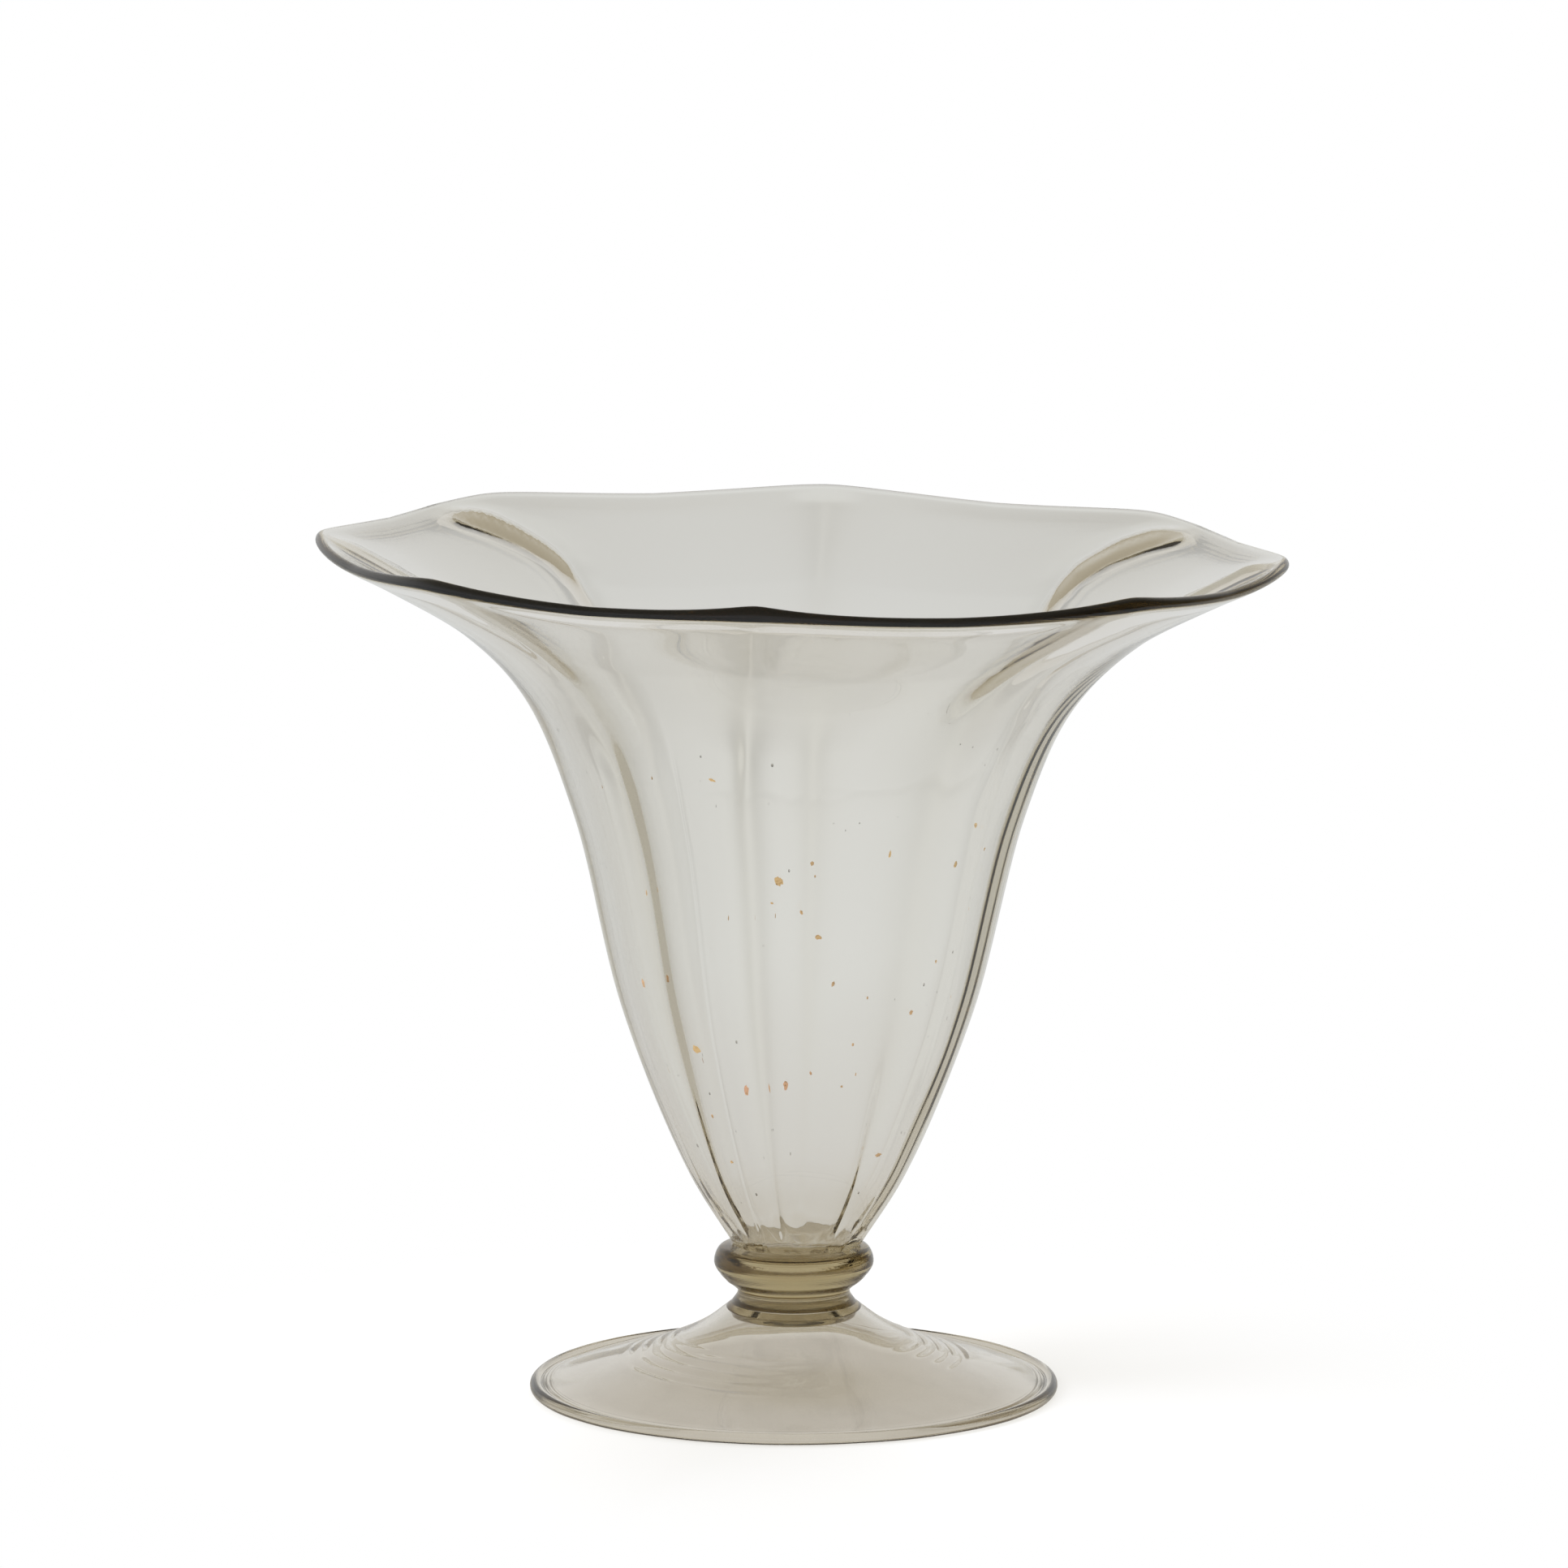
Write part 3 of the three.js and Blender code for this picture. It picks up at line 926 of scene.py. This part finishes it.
# %% [markdown]
# Now the bowl itself. The steps round it are crowded towards the ribs, because that is where the wall
# turns fastest and where a coarse mesh would show as facets in the refraction. An even spacing would
# need many more steps to be as smooth there.

# %% Bowl
STEPS_PER_PANEL = 44
CORNER_CROWDING = 1.8
BOWL_SHAPE = {
    "First Rib": FIRST_RIB,
    "Corner Round": 0.2,
    "Rib Depth": 1.0,
    "Rib Width": 1.0,
    "Rib Waver": 1.0,
    "Sag": 2.3 * MM,
    "Dip": math.tan(math.radians(1.2)),
    "Sag From": 181.8 * MM,
    "Sag To": 262.0 * MM,
    "Offset": 1.0 * MM,
    "Lean": math.tan(math.radians(0.35)),
    "Seat": COLLAR_TOP,
    "Wobble": 0.5 * MM,
    "Material": pale_glass,
}


def panel_angles(steps):
    angles = []
    for step in range(PANELS * steps):
        panel, even = step // steps, (step % steps) / steps * 2 - 1
        across = math.copysign(1 - (1 - abs(even)) ** CORNER_CROWDING, even)
        angles.append(FIRST_RIB + (panel + (across + 1) / 2) * FULL_TURN / PANELS)
    return np.array(angles)


def panelled(name, rows, angles):
    blank, sizes = turned_mesh(name, [(row.radius, row.height) for row in rows], angles)
    for label in ("draw", "outward", "ripple"):
        label_points(blank, label, [getattr(row, label) for row in rows], sizes)
    hand = hands_round(angles)
    facts = [facts_of_row(row, hand, angles) for row in rows]
    one_each = [1] * len(blank.vertices)
    for label in facts[0]:
        values = [row_facts[label][:size] for row_facts, size in zip(facts, sizes)]
        label_points(blank, label, np.concatenate(values), one_each)
    return run_tree(blank, name, panel_tree, BOWL_SHAPE)


bowl = panelled("ribbed_bowl", rows, panel_angles(STEPS_PER_PANEL))
bowl_heights = [corner[2] for corner in bowl.bound_box]
print("bowl height in mm", round((max(bowl_heights) - min(bowl_heights)) / MM, 1))

# %% [markdown]
# Flakes of gold leaf and tiny air bubbles, which glass workers call seeds, are caught inside the wall.
# They could be scattered over the bowl's skin, but then they would sit on the glass. So we first make
# a bed: a thin sheet in the middle of the wall, pressed by the same tree as the bowl, with no ribs.

# %% Bed in the middle of the wall
BED_FROM, BED_TO = 62 * MM, 215 * MM
BED_STEPS_PER_PANEL = 12


def middle_rows():
    middle = []
    for outer, inner in zip(rows_outside, rows_inside):
        radius, height = (outer.radius + inner.radius) / 2, (outer.height + inner.height) / 2
        if BED_FROM < height < BED_TO:
            middle.append(outer._replace(radius=radius, height=height))
    return middle


bed = panelled("wall_bed", middle_rows(), panel_angles(BED_STEPS_PER_PANEL))
bed_surface = BVHTree.FromObject(bed, bpy.context.evaluated_depsgraph_get())

# %% [markdown]
# Leaf that is blown out with the bubble tears into flat, crumpled flakes of a millimetre or three, gold
# where it is bright and coppery where it is thin. The finish mixes the two by a fact that each flake
# carries, and wears both with a fine grain, because even tiny flakes are not one flat colour. A plain
# metal would mirror the dim room and turn the flakes black, so the leaf is only partly metal.

# %% Gold leaf finish
LEAF_GOLD = (0.88, 0.62, 0.28, 1)
LEAF_COPPER = (0.88, 0.50, 0.32, 1)
LEAF_WORN = (0.50, 0.31, 0.13, 1)
LEAF_GRAIN = 1400.0
WEAR_RUN = (0.52, 0.72)
LEAF_ROUGHNESS = (0.35, 0.65)
LEAF_METAL = 0.3
LEAF_BUMP = 0.5


def spread(tree, value, least, most):
    inputs = {"Value": value, "To Min": least, "To Max": most}
    return add_node(tree, "ShaderNodeMapRange", inputs).outputs["Result"]


def gold_leaf():
    finish, tree = blank_tree(bpy.data.materials, "gold_leaf")
    grain = noise(tree, object_place(tree), LEAF_GRAIN, detail=3.0)
    warmth = add_node(tree, "ShaderNodeAttribute", attribute_name="warmth").outputs["Fac"]
    leaf = mixed_colour(tree, warmth, LEAF_GOLD, LEAF_COPPER)
    inputs = {
        "Base Color": mixed_colour(tree, smooth_share(tree, grain, *WEAR_RUN), leaf, LEAF_WORN),
        "Metallic": LEAF_METAL,
        "Roughness": spread(tree, grain, *LEAF_ROUGHNESS),
        "Normal": bumped(tree, grain, LEAF_BUMP),
    }
    shader = add_node(tree, "ShaderNodeBsdfPrincipled", inputs)
    add_node(tree, "ShaderNodeOutputMaterial", {"Surface": shader.outputs[0]})
    return finish


leaf_finish = gold_leaf()
print("leaf finish nodes", len(leaf_finish.node_tree.nodes))

# %% [markdown]
# The flakes are placed one by one, where the real bowl has them: turn about the axis, height, length,
# width, spin and warmth, in degrees and mm. Each place is found by shooting a ray from the axis to the
# bed. Scattering them by chance would be quicker, but the few large ones would be in the wrong places.

# %% Places of the gold flecks
Fleck = namedtuple("Fleck", "turn height long wide spin warmth")
FLECKS = [
    (-94, 171, 3.8, 2.8, 25, 0.1),
    (-108, 103, 3.8, 2.0, -8, 0.9),
    (-93, 105, 3.6, 1.6, 4, 0.8),
    (-99, 104, 3.5, 0.5, 4, 0.6),
    (-126, 115, 3.2, 2.8, 30, 0.1),
    (138, 98, 2.3, 0.7, -15, 0.5),
    (-145, 134, 3.0, 2.2, 0, 0.6),
    (-83, 153, 2.3, 1.7, 80, 0.2),
    (76, 119, 2.0, 1.5, 20, 0.3),
    (56, 160, 2.6, 1.5, 5, 0.0),
    (-43, 173, 2.6, 1.7, -5, 0.0),
    (-51, 127, 1.7, 1.8, 0, 0.4),
    (-109, 203, 2.5, 1.1, 75, 0.1),
    (85, 156, 1.6, 1.4, 0, 0.2),
    (136, 185, 1.5, 1.6, 0, 0.1),
    (34, 172, 1.8, 1.8, 40, 0.0),
    (-88, 161, 1.6, 1.1, 20, 0.3),
    (42, 129, 1.2, 1.4, 0, 0.2),
    (-126, 93, 1.6, 0.9, 0, 0.5),
    (105, 140, 1.9, 0.9, 10, 0.2),
    (-84, 109, 1.6, 0.8, 15, 0.7),
    (-70, 118, 1.2, 0.9, 0, 0.4),
    (67, 89, 1.1, 0.9, 90, 0.3),
    (-96, 164, 1.1, 0.8, 60, 0.2),
    (59, 93, 1.3, 0.7, 0, 0.4),
    (-122, 78, 1.2, 1.2, 0, 0.3),
    (84, 152, 0.9, 0.8, 0, 0.2),
    (-31, 176, 1.2, 0.9, 0, 0.1),
    (-48, 80, 2.9, 1.7, 85, 0.4),
    (23, 120, 1.3, 1.2, 0, 0.2),
    (-135, 164, 2.1, 0.6, -5, 0.3),
    (-67, 133, 1.1, 0.7, 0, 0.4),
    (26, 147, 1.1, 0.9, 0, 0.2),
]
LEAF_THICK = 0.16 * MM


def fleck_points(flecks):
    spots, lies = [], []
    for fleck in flecks:
        way = Vector((math.cos(math.radians(fleck.turn)), math.sin(math.radians(fleck.turn)), 0))
        spot, lie, _, _ = bed_surface.ray_cast(Vector((0, 0, fleck.height * MM)), way)
        spots.append(spot)
        lies.append(lie if lie.dot(way) > 0 else -lie)
    mesh = bpy.data.meshes.new("fleck_points")
    mesh.from_pydata(spots, [], [])
    one_each = [1] * len(flecks)
    sizes = [(fleck.wide * MM, fleck.long * MM, LEAF_THICK) for fleck in flecks]
    label_points(mesh, "lie", lies, one_each)
    label_points(mesh, "size", sizes, one_each)
    label_points(mesh, "spin", [math.radians(fleck.spin) for fleck in flecks], one_each)
    label_points(mesh, "warmth", [fleck.warmth for fleck in flecks], one_each)
    return mesh


fleck_spots = fleck_points([Fleck(*fleck) for fleck in FLECKS])
print("flecks placed", len(fleck_spots.vertices))

# %% [markdown]
# The tree lays a flake on every point, flat along the wall and turned by its spin, and picks one of a
# few crumpled shapes. A flake is a ball of a few faces with every corner pulled in by chance, pressed
# flat. A flat card would vanish when it is seen from its edge.

# %% Gold flecks
FLAKE_SHAPES = 5
RAGGED_MOST = 1.1
BALL_SIZES = {"Radius": 0.5, "Subdivisions": 2}
UPWARDS = (0, 0, 1)


def upright_on(tree, lie, spin):
    flat = add_node(tree, "FunctionNodeAlignRotationToVector", {"Vector": lie}, axis="Z")
    inputs = {"Rotation": flat.outputs[0], "Vector": UPWARDS}
    upright = add_node(tree, "FunctionNodeAlignRotationToVector", inputs, axis="Y", pivot_axis="Z")
    turn = add_node(tree, "FunctionNodeAxisAngleToRotation", {"Axis": UPWARDS, "Angle": spin})
    inputs = {"Rotation": upright.outputs[0], "Rotate By": turn.outputs[0]}
    return add_node(tree, "FunctionNodeRotateRotation", inputs, rotation_space="LOCAL").outputs[0]


def torn_flake(group, place, index, least, seed):
    ball = add_node(group, "GeometryNodeMeshIcoSphere", BALL_SIZES).outputs["Mesh"]
    inputs = {"Min": least, "Max": RAGGED_MOST, "ID": index, "Seed": seed}
    ragged = add_node(group, "FunctionNodeRandomValue", inputs).outputs["Value"]
    torn = add_node(group, "ShaderNodeVectorMath", {0: place, "Scale": ragged}, operation="SCALE")
    inputs = {"Geometry": ball, "Position": torn.outputs[0]}
    flake = add_node(group, "GeometryNodeSetPosition", inputs)
    return add_node(group, "GeometryNodeGeometryToInstance", {"Geometry": flake.outputs[0]}).outputs[0]


def fleck_tree():
    group, given, result = shape_group("gold_flecks", {"Raggedness": 0.4, "Seed": 1})
    place = add_node(group, "GeometryNodeInputPosition").outputs[0]
    index = add_node(group, "GeometryNodeInputIndex").outputs[0]
    shapes = add_node(group, "GeometryNodeJoinGeometry")
    for shape in range(FLAKE_SHAPES):
        flake = torn_flake(group, place, index, 1 - given["Raggedness"], given["Seed"] + shape)
        feed(group, shapes.inputs["Geometry"], flake)
    inputs = {
        "Points": given["Geometry"],
        "Instance": shapes.outputs[0],
        "Pick Instance": True,
        "Instance Index": index,
        "Rotation": upright_on(group, fact(group, "lie", "FLOAT_VECTOR"), fact(group, "spin")),
        "Scale": fact(group, "size", "FLOAT_VECTOR"),
    }
    end_tree(group, given, result, add_node(group, "GeometryNodeInstanceOnPoints", inputs))
    return group


FLECK_VALUES = {"Raggedness": 0.45, "Seed": 5, "Material": leaf_finish}
flecks = run_tree(fleck_spots, "gold_flecks", fleck_tree(), FLECK_VALUES)

# %% [markdown]
# A seed is an empty place in the glass, so light bends the other way at its skin. The trick is a ball
# with the inverse index, which saves cutting holes in the bowl. Its skin is a shade uneven, as the
# glass round it is.

# %% Seed finish
SEED_GRAIN = 900.0
SEED_ROUGHNESS = (0.0, 0.03)


def seed_skin():
    finish, tree = blank_tree(bpy.data.materials, "seed_skin")
    grain = noise(tree, object_place(tree), SEED_GRAIN, detail=1.0)
    inputs = {
        "Base Color": WHITE,
        "Metallic": 0,
        "IOR": 1 / GLASS_BEND,
        "Transmission Weight": 1,
        "Roughness": spread(tree, grain, *SEED_ROUGHNESS),
    }
    clear = add_node(tree, "ShaderNodeBsdfPrincipled", inputs)
    surface = lets_lamps_through(tree, clear, WHITE)
    add_node(tree, "ShaderNodeOutputMaterial", {"Surface": surface})
    return finish


seed_finish = seed_skin()
print("seed finish nodes", len(seed_finish.node_tree.nodes))

# %% [markdown]
# The tree scatters the seeds over the bed with a fixed seed number and stretches them upwards, as the
# bowl was stretched. Small seeds are far more common than large ones, so the chance that picks a size
# is raised to a power. Placing hundreds by hand would look no more real.

# %% Seeds
SMALL_MORE_OFTEN = 3
SEED_VALUES = {
    "Density": 800,
    "Least": 0.22 * MM,
    "Most": 0.7 * MM,
    "Stretch": 1.8,
    "Seed": 11,
    "Material": seed_finish,
}


def seed_tree():
    knobs = {"Density": 100.0, "Least": 0.2 * MM, "Most": 0.6 * MM, "Stretch": 2.0, "Seed": 1}
    group, given, result = shape_group("air_seeds", knobs)
    inputs = {"Mesh": given["Geometry"], "Density": given["Density"], "Seed": given["Seed"]}
    spots = add_node(group, "GeometryNodeDistributePointsOnFaces", inputs).outputs
    chance = add_node(group, "FunctionNodeRandomValue", {"Seed": given["Seed"]}).outputs["Value"]
    small = reckon(group, "POWER", chance, SMALL_MORE_OFTEN)
    width = given["Least"] + small * (given["Most"] - given["Least"])
    size = add_node(group, "ShaderNodeCombineXYZ", {0: width, 1: width * given["Stretch"], 2: width})
    inputs = {
        "Points": spots["Points"],
        "Instance": add_node(group, "GeometryNodeMeshIcoSphere", BALL_SIZES).outputs["Mesh"],
        "Rotation": upright_on(group, spots["Normal"], 0.0),
        "Scale": size.outputs[0],
    }
    end_tree(group, given, result, smoothed(group, add_node(group, "GeometryNodeInstanceOnPoints", inputs)))
    return group


seeds = run_tree(bed.data, "air_seeds", seed_tree(), SEED_VALUES)
bpy.data.objects.remove(bed)

# %% [markdown]
# The collar, the spool and the foot are worked on the turning pipe with wooden and iron tools, which
# leave faint rings and a slightly uneven surface. One tree gives all three that hand: a ripple along
# the radius or along the height, in patches, a slow unevenness, and a rim that is a little thicker at
# the back than in front. Perfectly turned solids would look machine made.

# %% Tree for tool marks
DRIFT_SCALE, DRIFT = 24.0, 9.0
PATCH_SCALE, PATCH_RUN = 22.0, (0.38, 0.58)
UNEVEN_SCALE = 38.0
RIM_RUN = (50 * MM, 75 * MM)
RIM_RADIUS = 82 * MM
MARK_KNOBS = {
    "Along Height": 0.0,
    "Ring Spacing": 3 * MM,
    "Ring Depth": 0.0,
    "Ring From": 0.0,
    "Ring To": 1.0,
    "Wobble": 0.0,
    "Uneven Rim": 0.0,
    "Seed": 0.0,
}


def tool_tree():
    group, given, result = shape_group("tool_marks", MARK_KNOBS)
    place = add_node(group, "GeometryNodeInputPosition").outputs[0]
    normal = add_node(group, "GeometryNodeInputNormal").outputs[0]
    x, y, z = parts_of(group, place)
    radius = round_the_axis(group, x, y)
    along = z * given["Along Height"] + radius * (1 - given["Along Height"])
    drift = noise(group, place, DRIFT_SCALE, 1.0, given["Seed"]) * DRIFT
    phase = along * FULL_TURN / given["Ring Spacing"] + drift
    patch = smooth_share(group, noise(group, place, PATCH_SCALE, 0.0, given["Seed"]), *PATCH_RUN)
    after = reckon(group, "GREATER_THAN", along, given["Ring From"])
    before = reckon(group, "LESS_THAN", along, given["Ring To"])
    ring = reckon(group, "SINE", phase) * given["Ring Depth"] * (patch * (after * before))
    wobble = centred_noise(group, place, UNEVEN_SCALE, given["Seed"]) * given["Wobble"]
    push = add_node(group, "ShaderNodeVectorMath", {0: normal, "Scale": ring + wobble}, operation="SCALE")
    at_rim = smooth_share(group, radius, *RIM_RUN) * given["Uneven Rim"]
    rise = add_node(group, "ShaderNodeCombineXYZ", {2: z * (y / RIM_RADIUS) * at_rim})
    both = {0: push.outputs[0], 1: rise.outputs[0]}
    offset = add_node(group, "ShaderNodeVectorMath", both, operation="ADD").outputs[0]
    inputs = {"Geometry": given["Geometry"], "Offset": offset}
    end_tree(group, given, result, smoothed(group, add_node(group, "GeometryNodeSetPosition", inputs)))
    return group


mark_tree = tool_tree()
print("tool mark tree nodes", len(mark_tree.nodes))

# %% [markdown]
# The collar is a solid ring of glass and the spool under it is waisted; on the real vase they are one
# lump, so they are turned as one stem. Where the stem meets the bowl and the foot, each piece reaches
# a hair into its neighbour: a ray that crosses two such faces leaves in the direction it came, as in
# fused glass. A gap, however thin, would act as a mirror.

# %% Stem: collar and spool
ROUND_STEPS = 224
STEM_STEPS = 16
END_STEPS = 5
FUSE = 0.05 * MM
SPOOL_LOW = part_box("stem_spool")[0].z
STEM_SIDE = [(19.4, 0.0), (17.4, 3.8), (21.8, 8.0), (24.7, 12.6), (23.2, 17.2), (19.8, 18.4)]
STEM_MARKS = {
    "Along Height": 1.0,
    "Ring Spacing": 1.7 * MM,
    "Ring Depth": 0.05 * MM,
    "Ring From": 30.5 * MM,
    "Ring To": 38.0 * MM,
    "Wobble": 0.35 * MM,
    "Seed": 3.0,
    "Material": thick_glass,
}
round_angles = [FULL_TURN * step / ROUND_STEPS for step in range(ROUND_STEPS)]


def flat_run(radius, height, steps):
    return [(radius * step / steps, height) for step in range(steps)]


def stem_section():
    line = smooth_line([(radius * MM, SPOOL_LOW + height * MM) for radius, height in STEM_SIDE], STEM_STEPS)
    (low_radius, low), (top_radius, top) = line[0], line[-1]
    bottom = flat_run(low_radius, low - FUSE, END_STEPS)
    return bottom + [tuple(point) for point in line] + flat_run(top_radius, top + FUSE, END_STEPS)[::-1]


def hand_turned(name, section, marks):
    blank, _ = turned_mesh(name, section, round_angles)
    return run_tree(blank, name, mark_tree, marks)


stem = hand_turned("worked_stem", stem_section(), STEM_MARKS)

# %% [markdown]
# The foot is a thin bell spread out flat, with its edge folded under so that it doesn't chip. From
# above, the fold shows as a rounded bead with a fine groove inside it; from below, as a band that the
# vase stands on. Under the spool the hollow ends early, in a shallow dome below a lump of glass. All
# of it goes into one closed section, because the fold is fused to the foot. A second piece for the
# fold would be easier to draw, but its seam would shine.

# %% Foot and its folded edge
CROWN_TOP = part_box("foot")[1].z
FOOT_WALL = 2.3 * MM
FOOT_TOP = [(77.3, 3.5), (74.0, 4.4), (62.0, 8.1), (44.0, 14.0), (28.9, 21.0), (19.4, 28.0)]
HOLLOW_DOME = [(18.6, 23.0), (17.0, 22.8), (14.5, 23.6), (11.0, 24.8), (6.0, 25.6), (0.0, 25.8)]
DOME_FROM, UNDER_TO = 19.4 * MM, 74.6 * MM
FOLD_UNDER = [(76.1, 1.75), (75.6, 1.3), (75.7, 0.5), (76.4, 0.0), (78.0, 0.0)]
BEAD_MIDDLE = (79.95 * MM, 2.0 * MM)
BEAD_RADIUS = 2.0 * MM
BEAD_ARC = (-math.pi / 2, math.radians(108))
BEAD_GROOVE = [(78.6, 3.4), (78.25, 3.0), (77.95, 3.1)]
TOP_STEPS, FOLD_STEPS, EDGE_STEPS, DOME_STEPS, CROWN_STEPS = 26, 4, 16, 5, 6
FOOT_MARKS = {
    "Ring Spacing": 4.4 * MM,
    "Ring Depth": 0.08 * MM,
    "Ring From": 36 * MM,
    "Ring To": 54 * MM,
    "Wobble": 0.25 * MM,
    "Uneven Rim": 0.14,
    "Seed": 8.0,
    "Material": foot_glass,
}


def in_metres(stations):
    return [(radius * MM, height * MM) for radius, height in stations]


def under_side(line):
    under = []
    for before, here, after in zip(line, line[1:], line[2:]):
        along = (after - before).normalized()
        below = here - Vector((along.y, -along.x)) * FOOT_WALL
        if DOME_FROM < below.x < UNDER_TO:
            under.append((below.x, below.y))
    return under


def foot_section():
    upper = smooth_line(in_metres(FOOT_TOP), TOP_STEPS)
    under = under_side(upper)
    dome = smooth_line([under[-1], *in_metres(HOLLOW_DOME)], DOME_STEPS)
    roof = [(max(point.x, 0), point.y) for point in dome[:0:-1]]
    fold = smooth_line(in_metres(FOLD_UNDER), FOLD_STEPS)
    edge = arc(BEAD_MIDDLE, BEAD_RADIUS, *BEAD_ARC, EDGE_STEPS)
    crown = flat_run(upper[-1].x, CROWN_TOP + FUSE, CROWN_STEPS)
    below = roof + under[::-1] + [tuple(point) for point in fold] + edge
    return below + in_metres(BEAD_GROOVE) + [tuple(point) for point in upper] + crown[::-1]


foot = hand_turned("folded_foot", foot_section(), FOOT_MARKS)

# %% [markdown]
# Each piece now takes the place of its solid in the imported model: it rides on the model's body and
# hides the solid that it stands for. The bowl stands for the lip bead as well, because its own wall
# ends in the bead. Flecks and seeds stand for no solid.

# %% Pieces on the frame
PLACES = [
    (bowl, ("bowl", "lip_bead"), "pale_glass"),
    (stem, ("collar", "stem_spool"), "thick_glass"),
    (foot, ("foot", "foot_hem"), "pale_glass"),
]
for piece, nodes, slot in PLACES:
    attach(piece, "root")
    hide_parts(*nodes)
for piece in (flecks, seeds):
    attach(piece, "root")
print("pieces", [piece.name for piece, _, _ in PLACES], flecks.name, seeds.name)
